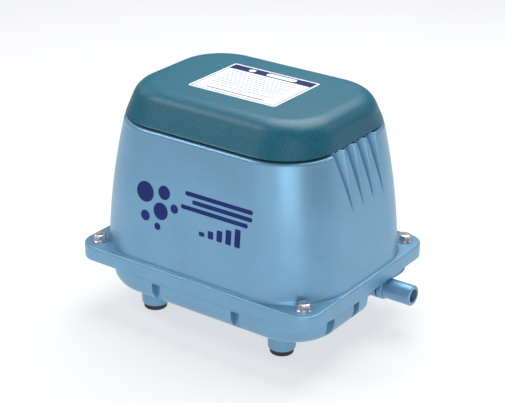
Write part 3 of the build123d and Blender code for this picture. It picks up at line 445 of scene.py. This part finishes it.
def scoop_columns(z):
    """(y, depth share) across the short side, with the lines drawn in to each scoop."""
    rise = (z - SCOOP_TIP) / (SHOULDER_TOP - SCOOP_TIP)
    below = min(max(-rise * 1.6, 0.0), 1.0)
    spread = below * below * (3 - 2 * below)
    columns = []

    def run(y0, y1, steps):
        return [(y0 + (y1 - y0) * k / steps, 0.0) for k in range(steps)]

    start = -SIDE_REACH
    for rear, width in zip(SCOOP_REARS, SCOOP_WIDTHS):
        reach = max(SCOOP_TIP_WIDTH, width * max(rise, 0.0)) + (12.0 - SCOOP_TIP_WIDTH) * spread
        front = rear - reach
        columns += run(start, front, 5 if start == -SIDE_REACH else 3)
        columns += [(front + reach * s, groove_share(s)) for s in GROOVE_STEPS[:-1]]
        start = rear
    return columns + run(start, SIDE_REACH, 5) + [(SIDE_REACH, 0.0)]


def scooped_ring(shape, z, backing=0.0):
    """A ring whose short sides are pressed in by the scoops. Backing keeps an inner ring behind them."""
    depth = sizes().scoop_depth / MM * max((z - SCOOP_TIP) / (SHOULDER_TOP - SCOOP_TIP), 0.0) ** 0.75
    columns = []
    for y, share in scoop_columns(z):
        x, low = side_x(shape, y), z
        if z <= SCOOP_TIP:
            columns.append((x, y, z))
            continue
        outer = side_x(wall_shape(z), y) - depth * share - backing
        if backing == 0 and outer < side_x(wall_shape(SHOULDER_TOP), y) - RECESS - 0.05:
            low = min(z, DECK_TOP)
        columns.append((min(x, outer), y, low))
    return ring(shape, z, columns)


def upper_shell_rings():
    """The shell's section as rings: down the chamber, out round the skirt and up the wall to the recess."""
    quarter = [math.pi / 2 * k / 5 for k in range(6)]
    rings = [scooped_ring(inset(wall_shape(z), WALL), z, CHAMBER_BACKING) for z in CHAMBER_LEVELS]
    rings.append(scooped_ring(inset(WALL_FOOT, WALL + 0.5), NEST_TOP))
    rings += [scooped_ring(inset(FLANGE, SKIRT_WALL), z) for z in (NEST_TOP, SKIRT_BOTTOM + 0.6)]
    # the skirt's lower edge, its face and the rounding up to the flange's top
    rings.append(scooped_ring(inset(FLANGE, SKIRT_WALL - 0.5), SKIRT_BOTTOM))
    for a in quarter:
        by, up = SKIRT_LIP * (1 - math.sin(a)), SKIRT_LIP * (1 - math.cos(a))
        rings.append(scooped_ring(inset(FLANGE, by), SKIRT_BOTTOM + up))
    rings += [scooped_ring(FLANGE, z) for z in (57.0, 62.0)]
    for a in quarter:
        by, down = FLANGE_EDGE * (1 - math.cos(a)), FLANGE_EDGE * (1 - math.sin(a))
        rings.append(scooped_ring(inset(FLANGE, by), FLANGE_TOP - down))
    # over the flange to the raised rim, then a cove into the wall
    rings += [scooped_ring(inset(RIM, -by), FLANGE_TOP + up) for by, up in RIM_STEPS]
    rings += [scooped_ring(inset(wall_shape(RIM_TOP + up), -by), RIM_TOP + up) for by, up in COVE_STEPS]
    radius = sizes().shoulder_radius / MM
    top_start = SHOULDER_TOP - radius
    rings += [scooped_ring(wall_shape(z), z) for z in WALL_LEVELS if z < top_start]
    shoulder = wall_shape(top_start)
    for k in range(9):
        a = math.pi / 2 * k / 8
        by, up = radius * (1 - math.cos(a)), radius * math.sin(a)
        rings.append(scooped_ring(inset(shoulder, by), top_start + up))
    recess = inset(wall_shape(SHOULDER_TOP), RECESS)
    rings += [scooped_ring(inset(recess, -by), SHOULDER_TOP - down) for by, down in RECESS_STEPS]
    rings += [scooped_ring(recess, z) for z in (DECK_TOP, DECK_BOTTOM + 1.0)]
    return rings


def post_places():
    """(x, y) of the lid's four posts and of their sockets in the deck."""
    return [(sx * POST_X, sy * POST_Y) for sx in (-1, 1) for sy in (-1, 1)]


def deck_outline():
    """The recess foot, drawn in where the scoops cut through it."""
    return [(x, y) for x, y, z in scooped_ring(inset(wall_shape(SHOULDER_TOP), RECESS + 0.02), DECK_TOP)]


PLATE_EDGE = 0.15                   # rounding of a flat plate's edges


def flat_plate(name, outline, holes, low, high, material, body):
    """A plate with holes through it, filled from its outlines."""
    curve = bpy.data.curves.new(name, "CURVE")
    curve.dimensions, curve.fill_mode = "2D", "BOTH"
    for points in [outline] + holes:
        spline = curve.splines.new("POLY")
        spline.points.add(len(points) - 1)
        for target, (x, y) in zip(spline.points, points):
            target.co = (CENTRE_X + x * MM, y * MM, 0, 1)
        spline.use_cyclic_u = True
    curve.extrude = (high - low) / 2 * MM - PLATE_EDGE * MM
    curve.bevel_depth, curve.bevel_resolution, curve.offset = PLATE_EDGE * MM, 1, -PLATE_EDGE * MM
    mesh = baked(curve)
    mesh.transform(Matrix.Translation((0, 0, (low + high) / 2 * MM)))
    return dress(placed(name, mesh), material, body)


def stadium(x, y, radius, half_length, steps=12):
    """A slot's outline along Y with round ends, or a circle when half_length is 0."""
    points = []
    for end, start in ((1, 0.0), (-1, math.pi)):
        for k in range(steps + 1):
            a = start + math.pi * k / steps
            points.append((x + radius * math.cos(a), y + end * half_length + radius * math.sin(a)))
    return points


def rounded_outline(half_x, half_y, radius, arc, steps):
    """(x, y) points round a small rectangle, with arcs about corner centres that are set in by radius."""
    points = []
    for cx, cy, start in ((1, 1, 0), (-1, 1, 1), (-1, -1, 2), (1, -1, 3)):
        for k in range(steps + 1):
            a = math.pi / 2 * (start + k / steps)
            points.append((cx * (half_x - radius) + arc * math.cos(a),
                           cy * (half_y - radius) + arc * math.sin(a)))
    return points


def rounded_plate(half_x, half_y, radius, levels, x=0.0, y=0.0, steps=6):
    """A small rounded slab through (inset, height) levels."""
    rings = []
    for by, z in levels:
        outline = rounded_outline(half_x, half_y, radius, max(radius - by, 0.02), steps)
        rings.append([(x + dx, y + dy, z) for dx, dy in outline])
    return loft(rings, cap_start=True, cap_end=True)


class PUMP_OT_upper_housing(bpy.types.Operator):
    """Enamelled upper casing: skirt, flange, bowed walls, scoops, slotted deck and the filter's rim"""
    bl_idname = "pump.upper_housing"
    bl_label = "Upper housing"

    def execute(self, context):
        paint = enamel()
        shell_part = loft(upper_shell_rings(), closed=True)
        shell = piece("upper_shell", [shell_part], paint, "casing", 40)
        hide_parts("upper_housing")
        slots = [stadium(x, 0, 7, 46) for x in (-60, -30, 0, 30, 60)]
        sockets = [stadium(x, y, POST_R + 0.5, 0, 10) for x, y in post_places()]
        flat_plate("intake_deck", deck_outline(), slots + sockets, DECK_BOTTOM, DECK_TOP, paint,
                   "casing")
        root, top, wall = DECK_TOP - 0.5, FILTER_RIM_TOP, FILTER_RIM_WALL
        levels = [(0.0, root), (0.0, top - 0.8), (0.3, top - 0.2), (0.9, top),
                  (wall - 0.9, top), (wall - 0.3, top - 0.2), (wall, top - 0.8), (wall, root)]
        rim = loft([ring(inset(FILTER_RIM, by), z) for by, z in levels], closed=True)
        rib_levels = ((0, root), (0, FILTER_BOTTOM - 0.6), (0.4, FILTER_BOTTOM - 0.1))
        ribs = [rounded_plate(1.0, 60, 0.9, rib_levels, x=x) for x in (-75, -45, -15, 15, 45, 75)]
        piece("filter_seat", [rim] + ribs, paint, "casing")
        return {"FINISHED"}


class PUMP_OT_lower_housing(bpy.types.Operator):
    """Enamelled tank casting with its feet bosses, and the painted outlet pipe"""
    bl_idname = "pump.lower_housing"
    bl_label = "Lower housing and outlet"

    def execute(self, context):
        carry_over(enamel(), "lower_housing", "outlet_pipe")
        return {"FINISHED"}


# ---------------------------------------------------------------- lid
def lid_section(z, edge):
    """Half X, half Y and corner radius of the lid's outside at this height."""
    t = (z - LID_BOTTOM) / (LID_TOP - LID_BOTTOM)
    eased = []
    for axis in (0, 1):
        line = LID_FOOT[axis] + (LID_HEAD[axis] - LID_FOOT[axis]) * t
        slope = math.atan2(LID_FOOT[axis] - LID_HEAD[axis], LID_TOP - LID_BOTTOM)
        centre_z = LID_TOP - edge
        centre = LID_HEAD[axis] + edge * (math.sin(slope) - 1) / math.cos(slope)
        if z > centre_z + edge * math.sin(slope):
            line = min(line, centre + math.sqrt(max(edge ** 2 - (z - centre_z) ** 2, 0.0)))
        eased.append(line)
    straight = [LID_FOOT[a] + (LID_HEAD[a] - LID_FOOT[a]) * t for a in (0, 1)]
    drawn_in = sum(s - e for s, e in zip(straight, eased)) / 2
    return eased[0], eased[1], LID_FOOT[2] + (LID_HEAD[2] - LID_FOOT[2]) * t - drawn_in * 0.8


class PUMP_OT_lid(bpy.types.Operator):
    """Moulded filter lid: a hollow shell with a broad rounded edge and four posts that stand in the deck"""
    bl_idname = "pump.lid"
    bl_label = "Filter lid"

    def execute(self, context):
        edge = sizes().lid_edge_radius / MM
        heights = [LID_BOTTOM + 0.8 + 1.6 * k for k in range(7)]
        first = math.asin((heights[-1] + 0.8 - (LID_TOP - edge)) / edge)
        sweep = math.pi / 2 - first
        heights += [LID_TOP - edge + edge * math.sin(first + sweep * k / 22) for k in range(23)]
        foot = lid_section(LID_BOTTOM, edge)
        outer = [(inset(foot, by), LID_BOTTOM + up) for by, up in ((1.0, 0.0), (0.45, 0.08), (0.1, 0.35))]
        outer += [(lid_section(z, edge), z) for z in heights]
        flat = lid_section(LID_TOP, edge)
        outer.append((inset(flat, 2.0), LID_TOP))
        inner = [(inset(shape, LID_WALL), z - LID_WALL if z > LID_BOTTOM + LID_WALL else LID_BOTTOM + 0.1 * k)
                 for k, (shape, z) in enumerate(outer) if z > LID_BOTTOM + 0.5]
        inner = [(s, max(z, LID_BOTTOM)) for s, z in inner]
        rings = [ring(s, z) for s, z in reversed(inner)] + [ring(s, z) for s, z in outer]
        shell = loft(rings, cap_start=True, cap_end=True)
        low = DECK_TOP - 2.4
        profile = ((POST_R - 0.6, low), (POST_R - 0.1, low + 0.4), (POST_R, low + 1.0),
                   (POST_R, LID_TOP - 8.5))
        posts = [turned(profile, place, 24) for place in post_places()]
        # the posts' upper ends are cut along the lid's slope, within its wall
        fall = (LID_FOOT[1] - LID_HEAD[1]) / (LID_TOP - LID_BOTTOM)
        posts = [([(x, y, z if z < LID_BOTTOM else LID_BOTTOM + (LID_FOOT[1] - LID_WALL / 2 - abs(y)) / fall)
                   for x, y, z in points], faces) for points, faces in posts]
        lid = piece("lid_shell", [shell] + posts, moulded_abs(), "lid", 50)
        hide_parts("filter_cover")
        return {"FINISHED"}


class PUMP_OT_label(bpy.types.Operator):
    """Blank rating label on the lid: white film with a printed frame, a header band and ruled lines"""
    bl_idname = "pump.label"
    bl_label = "Lid label"

    def execute(self, context):
        film = speckled("polyester_label_film_white", shaded(colours().film, 0.985), colours().film,
                        2.5 * MM, 0.02 * MM, 0.28, 0.36, 0.3, IOR=1.58)
        sheet = ((0, LID_TOP - 0.05), (0, LABEL_TOP - 0.06), (0.06, LABEL_TOP))
        base = rounded_plate(LABEL_X, LABEL_Y, 2.0, sheet)
        label = piece("label_film", [base], film, "lid")
        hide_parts("cover_label")
        printed = speckled("screen_ink_dark_blue", shaded(colours().ink, 0.75), shaded(colours().ink, 0.9),
                           1.0 * MM, 0.01 * MM, 0.45, 0.6, 0.3, IOR=1.28)
        top = ((0, LABEL_TOP - 0.02), (0, LABEL_TOP + 0.03))

        def bar(x0, x1, y0, y1, radius=0.2):
            return rounded_plate((x1 - x0) / 2, (y1 - y0) / 2, radius, top, (x0 + x1) / 2, (y0 + y1) / 2, 3)

        half_x, half_y, line = LABEL_X - 2.0, LABEL_Y - 2.0, 0.8
        frame_lines = [bar(-half_x, half_x, -half_y, line - half_y),
                       bar(-half_x, line - half_x, -half_y, half_y),
                       bar(half_x - line, half_x, -half_y, half_y),
                       bar(-half_x, half_x, half_y - 11, half_y, 1.0)]
        piece("label_print", frame_lines, printed, "lid")
        raised = ((0, LABEL_TOP), (0, LABEL_TOP + 0.06))
        blanks = [rounded_plate(half, 3.4, 3.3, raised, x, half_y - 5.5)
                  for half, x in ((16, 10), (3.4, -22))]
        piece("label_blanks", blanks, film, "lid")
        faint = speckled("screen_ink_grey_blue", "#5d6480", "#6a718c",
                         1.0 * MM, 0.01 * MM, 0.5, 0.6, 0.3, IOR=1.3)
        # height and half length of each ruled line
        rows = ((18.0, 34), (13.4, 36), (8.8, 31), (4.2, 37), (-0.4, 33),
                (-5.0, 37), (-9.6, 35), (-14.2, 26), (-20.0, 36))
        lines = [bar(-38, -38 + 2 * reach, y, y + 1.0) for y, reach in rows] + [bar(-32, 30, -29.5, -27.6)]
        piece("label_rules", lines, faint, "lid")
        return {"FINISHED"}


# ---------------------------------------------------------------- printed mark on the front
def on_front(x, z, out):
    """A point this far out of the front wall."""
    return x, -(wall_shape(z)[1] + out), z


def front_patch(outline_rings, x, z):
    """A thin printed patch that follows the front wall, through rings of (dx, dz) offsets."""
    rings = [[on_front(x + dx, z + dz, -0.05) for dx, dz in outline_rings[0]]]
    rings += [[on_front(x + dx, z + dz, 0.05) for dx, dz in r] for r in outline_rings]
    return loft(rings, cap_end=True)


def disc_rings(radius, steps=48):
    """Rings of a disc, from its edge inwards."""
    turns = [2 * math.pi * k / steps for k in range(steps)]
    return [[(radius * f * math.cos(a), radius * f * math.sin(a)) for a in turns]
            for f in (1.0, 0.8, 0.6, 0.4, 0.2)]


def bar_rings(half_x, half_z, radius, steps=6):
    """Rings of a rounded bar, which narrow towards its middle line."""
    outline = rounded_outline(half_x, half_z, radius, radius, steps)
    return [[(dx, f * dz) for dx, dz in outline] for f in (1.0, 0.7, 0.4, 0.1)]


class PUMP_OT_front_mark(bpy.types.Operator):
    """Plain printed mark on the front: rising air bubbles, flow lines and level bars"""
    bl_idname = "pump.front_mark"
    bl_label = "Front mark"

    def execute(self, context):
        ink = speckled("pad_print_dark_blue", shaded(colours().ink, 0.92), shaded(colours().ink, 1.06),
                       1.2 * MM, 0.01 * MM, 0.42, 0.55, 0.3, IOR=1.28)
        bubbles = [front_patch(disc_rings(r), x, z) for x, z, r in
                   ((-52, 136, 9.5), (-31, 140, 6.5), (-34, 122, 8.0),
                    (-51, 114, 5.0), (-19, 128, 4.2), (-37, 107, 3.4))]
        flow = [front_patch(bar_rings(half, 2.0, 1.9), x, z) for x, z, half in
                ((28, 146, 36), (32, 139.5, 32), (24, 133, 36))]
        levels = [front_patch(bar_rings(3.0, 2.0 + 1.6 * k, 1.0), 12 + 9.5 * k, 113 + 1.6 * k)
                  for k in range(5)]
        piece("front_print", bubbles + flow + levels, ink, "casing", 60)
        return {"FINISHED"}


# ---------------------------------------------------------------- filter
class PUMP_OT_filter(bpy.types.Operator):
    """Foam filter pad, cut from open-cell sheet"""
    bl_idname = "pump.filter_pad"
    bl_label = "Filter pad"

    def execute(self, context):
        rough = random.Random(7)

        def ragged(points, amount):
            return [(x + rough.uniform(-1, 1) * amount, y + rough.uniform(-1, 1) * amount,
                     z + rough.uniform(-1, 1) * amount) for x, y, z in points]

        low, high = FILTER_BOTTOM + 0.35, FILTER_TOP - 0.35
        sides = [(1.6, low), (0.7, low + 0.5), (0.4, low + 1.5)]
        sides += [(0.35, low + 1.5 + (high - low - 3.0) * k / 5) for k in range(1, 5)]
        sides += [(0.4, high - 1.5), (0.7, high - 0.5), (1.6, high)]
        tops = [(1.6 + 3.2 * k, high) for k in range(1, 10)]
        bottoms = [(by, low) for by, z in reversed(tops)]
        rings = [ragged(ring(inset(FILTER_PAD, by), z), 0.22) for by, z in bottoms + sides + tops]
        block = loft(rings, cap_start=True, cap_end=True)
        pad = piece("filter_pad", [block], foam(), "filter", 180)
        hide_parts("filter_element")
        return {"FINISHED"}


# ---------------------------------------------------------------- hardware and inside pieces
class PUMP_OT_fasteners(bpy.types.Operator):
    """Zinc-plated bolts, washers, screws, nuts and clamps"""
    bl_idname = "pump.fasteners"
    bl_label = "Plated fasteners"

    def execute(self, context):
        # Bright zinc plate on steel: a soft mirror with a faint pinkish cast
        # and fine barrel-plating marks of 0.4 mm.
        plate = speckled("bright_zinc_plated_steel", shaded(colours().plating, 0.86), colours().plating,
                         0.4 * MM, 0.02 * MM, 0.22, 0.4, 0.4, Metallic=1.0)
        carry_over(plate, "housing_bolts", "bolt_washers", "foot_screws", "tank_plate_screws",
                   "core_bolts", "cylinder_screws", "head_screws", "rear_case_screws", "hose_clamps",
                   "shaft_nuts", "piston_shaft", "isolator_nuts", "terminal_screws", "earth_screw",
                   "suction_valve_screw", "suction_valve_clamp",
                   "discharge_valve_screw", "discharge_valve_clamp")
        return {"FINISHED"}


class PUMP_OT_rubber(bpy.types.Operator):
    """Rubber feet, grommet, outlet seal, air hose and isolators"""
    bl_idname = "pump.rubber_parts"
    bl_label = "Rubber parts"

    def execute(self, context):
        # Moulded EPDM: nearly black with a blue cast, and a dull bloom over a fine grain of 0.6 mm.
        rubber = speckled("moulded_epdm_rubber", shaded(colours().rubber, 0.8), shaded(colours().rubber, 1.3),
                          0.6 * MM, 0.05 * MM, 0.5, 0.72, 0.5, IOR=1.52)
        carry_over(rubber, "rubber_feet", "cord_grommet", "outlet_seal", "discharge_hose", "isolators")
        # Silicone sheet of the reed flaps: warm red-brown and slightly waxy.
        flaps = speckled("silicone_reed_sheet", "#7c3a2c", "#8f4938",
                         0.8 * MM, 0.03 * MM, 0.4, 0.55, 0.4, IOR=1.43)
        carry_over(flaps, "suction_valve", "discharge_valve")
        # Compressed fibre gasket: matt grey-green paper with short flecks of 0.9 mm.
        fibre = speckled("compressed_fibre_gasket", "#59615a", "#707a70",
                         0.9 * MM, 0.06 * MM, 0.75, 0.9, 0.6, IOR=1.5)
        carry_over(fibre, "housing_gasket", "tank_gasket", "head_gasket")
        return {"FINISHED"}


class PUMP_OT_motor(bpy.types.Operator):
    """Laminated cores, coils, bobbins, magnets, protectors and the armature"""
    bl_idname = "pump.motor"
    bl_label = "Motor"

    def execute(self, context):
        # Silicon steel sheets, stamped and stacked: thin dark joints at every 1 mm,
        # drawn twice as coarse as the real 0.5 mm.
        sheets = wound("stacked_silicon_steel", "#3f4145", "#7e8186", 1.0 * MM, 0.06 * MM, "Z", Metallic=1.0)
        carry_over(sheets, "core_laminations", "armature_core")
        # Enamelled copper wire in close turns: warm, glossy ridges 0.9 mm apart,
        # drawn coarser than the real 0.6 mm so that they show. Its colour runs from dark brown in the grooves
        # to bright copper on the ridges: painted shade between the turns and a painted highlight on each
        # turn.
        wire = wound("enamelled_copper_winding", "#6e2f14", "#c8713a",
                     0.9 * MM, 0.12 * MM, "X", Metallic=0.85)
        carry_over(wire, "coils")
        # Glass-filled nylon: off-white with a dry moulded skin.
        nylon = speckled("glass_filled_nylon", "#cfcabd", "#dcd8cd",
                         0.8 * MM, 0.03 * MM, 0.45, 0.6, 0.4, IOR=1.53)
        carry_over(nylon, "bobbins", "terminal_block", "thermal_protectors")
        # Bright nickel over sintered magnets: smooth and slightly yellow.
        nickel = speckled("bright_nickel_plate", "#b5ada0", "#c9c2b6",
                          0.5 * MM, 0.01 * MM, 0.15, 0.28, 0.3, Metallic=1.0)
        carry_over(nickel, "armature_magnets")
        # Silicone-covered lead: satin, pale grey.
        lead = speckled("silicone_lead_cover", "#8f8f94", "#a6a6ab",
                        0.7 * MM, 0.02 * MM, 0.4, 0.55, 0.3, IOR=1.43)
        carry_over(lead, "coil_leads")
        return {"FINISHED"}


class PUMP_OT_pump_unit(bpy.types.Operator):
    """Cast frame, cylinder, head, piston and tank plate"""
    bl_idname = "pump.pump_unit"
    bl_label = "Pump unit"

    def execute(self, context):
        # Raw pressure-cast aluminium: pale grey with a sandy skin of about 1 mm grain.
        cast = speckled("raw_cast_aluminium", "#8b8e91", "#a9abad",
                        1.0 * MM, 0.08 * MM, 0.42, 0.62, 0.5, Metallic=1.0)
        carry_over(cast, "motor_frame", "cylinder", "valve_plate", "head_cover",
                   "piston", "rear_case", "tank_plate")
        # Carbon-filled resin of the ring and guide: dark, dry and even.
        resin = speckled("carbon_filled_resin", "#26272a", "#35373b",
                         0.6 * MM, 0.02 * MM, 0.45, 0.6, 0.4, IOR=1.4)
        carry_over(resin, "piston_ring", "guide_piston")
        # Turned brass: yellow, with tool marks every 0.4 mm across the axis.
        brass = wound("turned_brass", "#9a7a3c", "#c7a660", 0.4 * MM, 0.01 * MM, "Z", Metallic=1.0)
        carry_over(brass, "tank_inlet")
        return {"FINISHED"}


class PUMP_OT_spring(bpy.types.Operator):
    """Return spring, built as a coil at rest; the real spring shortens and lengthens with the piston"""
    bl_idname = "pump.return_spring"
    bl_label = "Return spring"

    def execute(self, context):
        low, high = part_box("return_spring")
        wire = 1.0 * MM
        turns, per_turn = 5, 20
        radius = (high.z - low.z) / 2 - wire
        middle = (low + high) / 2
        start, length = low.x + wire, high.x - low.x - 2 * wire
        curve = bpy.data.curves.new("return_coil", "CURVE")
        curve.dimensions, curve.bevel_depth, curve.bevel_resolution, curve.use_fill_caps = "3D", wire, 3, True
        spline = curve.splines.new("POLY")
        count = turns * per_turn
        spline.points.add(count)
        for k, point in enumerate(spline.points):
            a = 2 * math.pi * k / per_turn
            point.co = (start + length * k / count,
                        middle.y + radius * math.cos(a), middle.z + radius * math.sin(a), 1)
        mesh = baked(curve)
        coil = placed("return_coil", mesh)
        mesh.polygons.foreach_set("use_smooth", [True] * len(mesh.polygons))
        # Oil-tempered spring wire: dark, smooth and faintly brown.
        steel = speckled("oil_tempered_spring_wire", "#4a4541", "#67615b",
                         0.5 * MM, 0.01 * MM, 0.25, 0.4, 0.3, Metallic=1.0)
        mesh.materials.clear()
        mesh.materials.append(steel)
        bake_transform(coil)
        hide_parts("return_spring")
        return {"FINISHED"}


# ---------------------------------------------------------------- stage
VIEW_AZIMUTH, VIEW_ELEVATION, VIEW_ROLL = math.radians(35.428), math.radians(24.283), math.radians(0.518)
VIEW_DISTANCE, VIEW_LENS, SENSOR = 1380.48, 107.01, 36.0
VIEW_TARGET = (-0.731, 0.0, 106.905)
FLOOR_HALF = 4.0                    # metres
FLOOR_GLOW, WORLD_STRENGTH = 0.63, 0.18
SOFTBOX_AIM = (0.0, 0.0, 0.1)       # the point that every softbox faces, in metres
# softboxes: azimuth in degrees from the front, distance and height in metres,
# width and height of the panel in metres, power in watts
SOFTBOXES = (("top_softbox", 187, 0.40, 1.10, (1.0, 1.0), 18.0),
             ("edge_softbox", -50, 0.95, 1.02, (0.5, 0.30), 4.8),
             ("front_softbox", -2, 1.5, 0.28, (0.9, 0.5), 1.5),
             ("corner_softbox", 40, 1.45, 0.45, (0.9, 0.9), 7.4),
             ("right_softbox", 130, 1.1, 0.70, (0.5, 0.5), 1.4),
             ("back_softbox", 262, 1.3, 0.9, (0.8, 0.6), 1.8))


def softbox(name, azimuth, distance, height, size, power):
    """A rectangular area light that faces the pump."""
    light = bpy.data.lights.new(name, "AREA")
    light.shape, light.size, light.size_y = "RECTANGLE", size[0], size[1]
    light.energy = power
    lamp = bpy.data.objects.new(name, light)
    turn = math.radians(azimuth)
    lamp.location = (distance * math.sin(turn), -distance * math.cos(turn), height)
    lamp.rotation_mode = "QUATERNION"
    lamp.rotation_quaternion = (Vector(SOFTBOX_AIM) - lamp.location).to_track_quat("-Z", "Y")
    bpy.context.scene.collection.objects.link(lamp)


class PUMP_OT_stage(bpy.types.Operator):
    """Pale floor, soft studio lights and the camera"""
    bl_idname = "pump.stage"
    bl_label = "Studio"

    def execute(self, context):
        scene = context.scene
        half = FLOOR_HALF
        mesh = bpy.data.meshes.new("studio_floor")
        corners = [(-half, -half, 0), (half, -half, 0), (half, half, 0), (-half, half, 0)]
        mesh.from_pydata(corners, [], [(0, 1, 2, 3)])
        floor = placed("studio_floor", mesh)
        # Matt backdrop paper with a barely visible tooth. It glows a little, so it reads as white
        # while its grey base throws less light back up on the walls.
        paper = speckled("matt_backdrop_paper", shaded(colours().floor, 0.995), colours().floor,
                         3 * MM, 0.02 * MM, 0.85, 0.95, 0.2, IOR=1.45,
                         Emission_Color=(1.0, 1.0, 1.0, 1.0), Emission_Strength=FLOOR_GLOW)
        mesh.materials.append(paper)
        world = bpy.data.worlds.new("studio_world")
        scene.world = world
        world.use_nodes = True
        background = world.node_tree.nodes["Background"]
        background.inputs["Color"].default_value = linear("#f2f6fb")
        background.inputs["Strength"].default_value = WORLD_STRENGTH
        for softbox_values in SOFTBOXES:
            softbox(*softbox_values)
        reach = math.cos(VIEW_ELEVATION)
        back = Vector((math.sin(VIEW_AZIMUTH) * reach, -math.cos(VIEW_AZIMUTH) * reach,
                       math.sin(VIEW_ELEVATION)))
        level = Vector((0, 0, 1)).cross(back).normalized()
        upright = back.cross(level)
        right = math.cos(VIEW_ROLL) * level + math.sin(VIEW_ROLL) * upright
        up = back.cross(right)
        camera = bpy.data.cameras.new("studio_camera")
        camera.lens, camera.sensor_width = VIEW_LENS, SENSOR
        eye = placed("studio_camera", camera)
        place = at(*VIEW_TARGET) + back * VIEW_DISTANCE * MM
        turn = Matrix((right, up, back)).transposed().to_4x4()
        eye.matrix_world = Matrix.Translation(place) @ turn
        scene.camera = eye
        scene.view_settings.view_transform = "Standard"
        return {"FINISHED"}


STEPS = (PUMP_OT_stage, PUMP_OT_upper_housing, PUMP_OT_lower_housing, PUMP_OT_lid, PUMP_OT_label,
         PUMP_OT_front_mark, PUMP_OT_filter, PUMP_OT_fasteners, PUMP_OT_rubber, PUMP_OT_motor,
         PUMP_OT_pump_unit, PUMP_OT_spring)


class PUMP_PT_panel(bpy.types.Panel):
    """Lists the pump's sizes, colours and build steps"""
    bl_idname = "PUMP_PT_panel"
    bl_label = "Air pump"
    bl_space_type = "VIEW_3D"
    bl_region_type = "UI"
    bl_category = "Air pump"

    def draw(self, context):
        for group in (context.scene.pump_sizes, context.scene.pump_colours):
            box = self.layout.box()
            for name in group.__annotations__:
                box.prop(group, name)
        for step in STEPS:
            self.layout.operator(step.bl_idname)


CLASSES = (PumpSizes, PumpColours) + STEPS + (PUMP_PT_panel,)


def register():
    for cls in CLASSES:
        bpy.utils.register_class(cls)
    bpy.types.Scene.pump_sizes = bpy.props.PointerProperty(type=PumpSizes)
    bpy.types.Scene.pump_colours = bpy.props.PointerProperty(type=PumpColours)


def unregister():
    del bpy.types.Scene.pump_colours
    del bpy.types.Scene.pump_sizes
    for cls in reversed(CLASSES):
        bpy.utils.unregister_class(cls)


def main():
    register()
    bpy.ops.pump.stage()
    bpy.ops.pump.upper_housing()
    bpy.ops.pump.lower_housing()
    bpy.ops.pump.lid()
    bpy.ops.pump.label()
    bpy.ops.pump.front_mark()
    bpy.ops.pump.filter_pad()
    bpy.ops.pump.fasteners()
    bpy.ops.pump.rubber_parts()
    bpy.ops.pump.motor()
    bpy.ops.pump.pump_unit()
    bpy.ops.pump.return_spring()


if __name__ == "__main__":
    main()
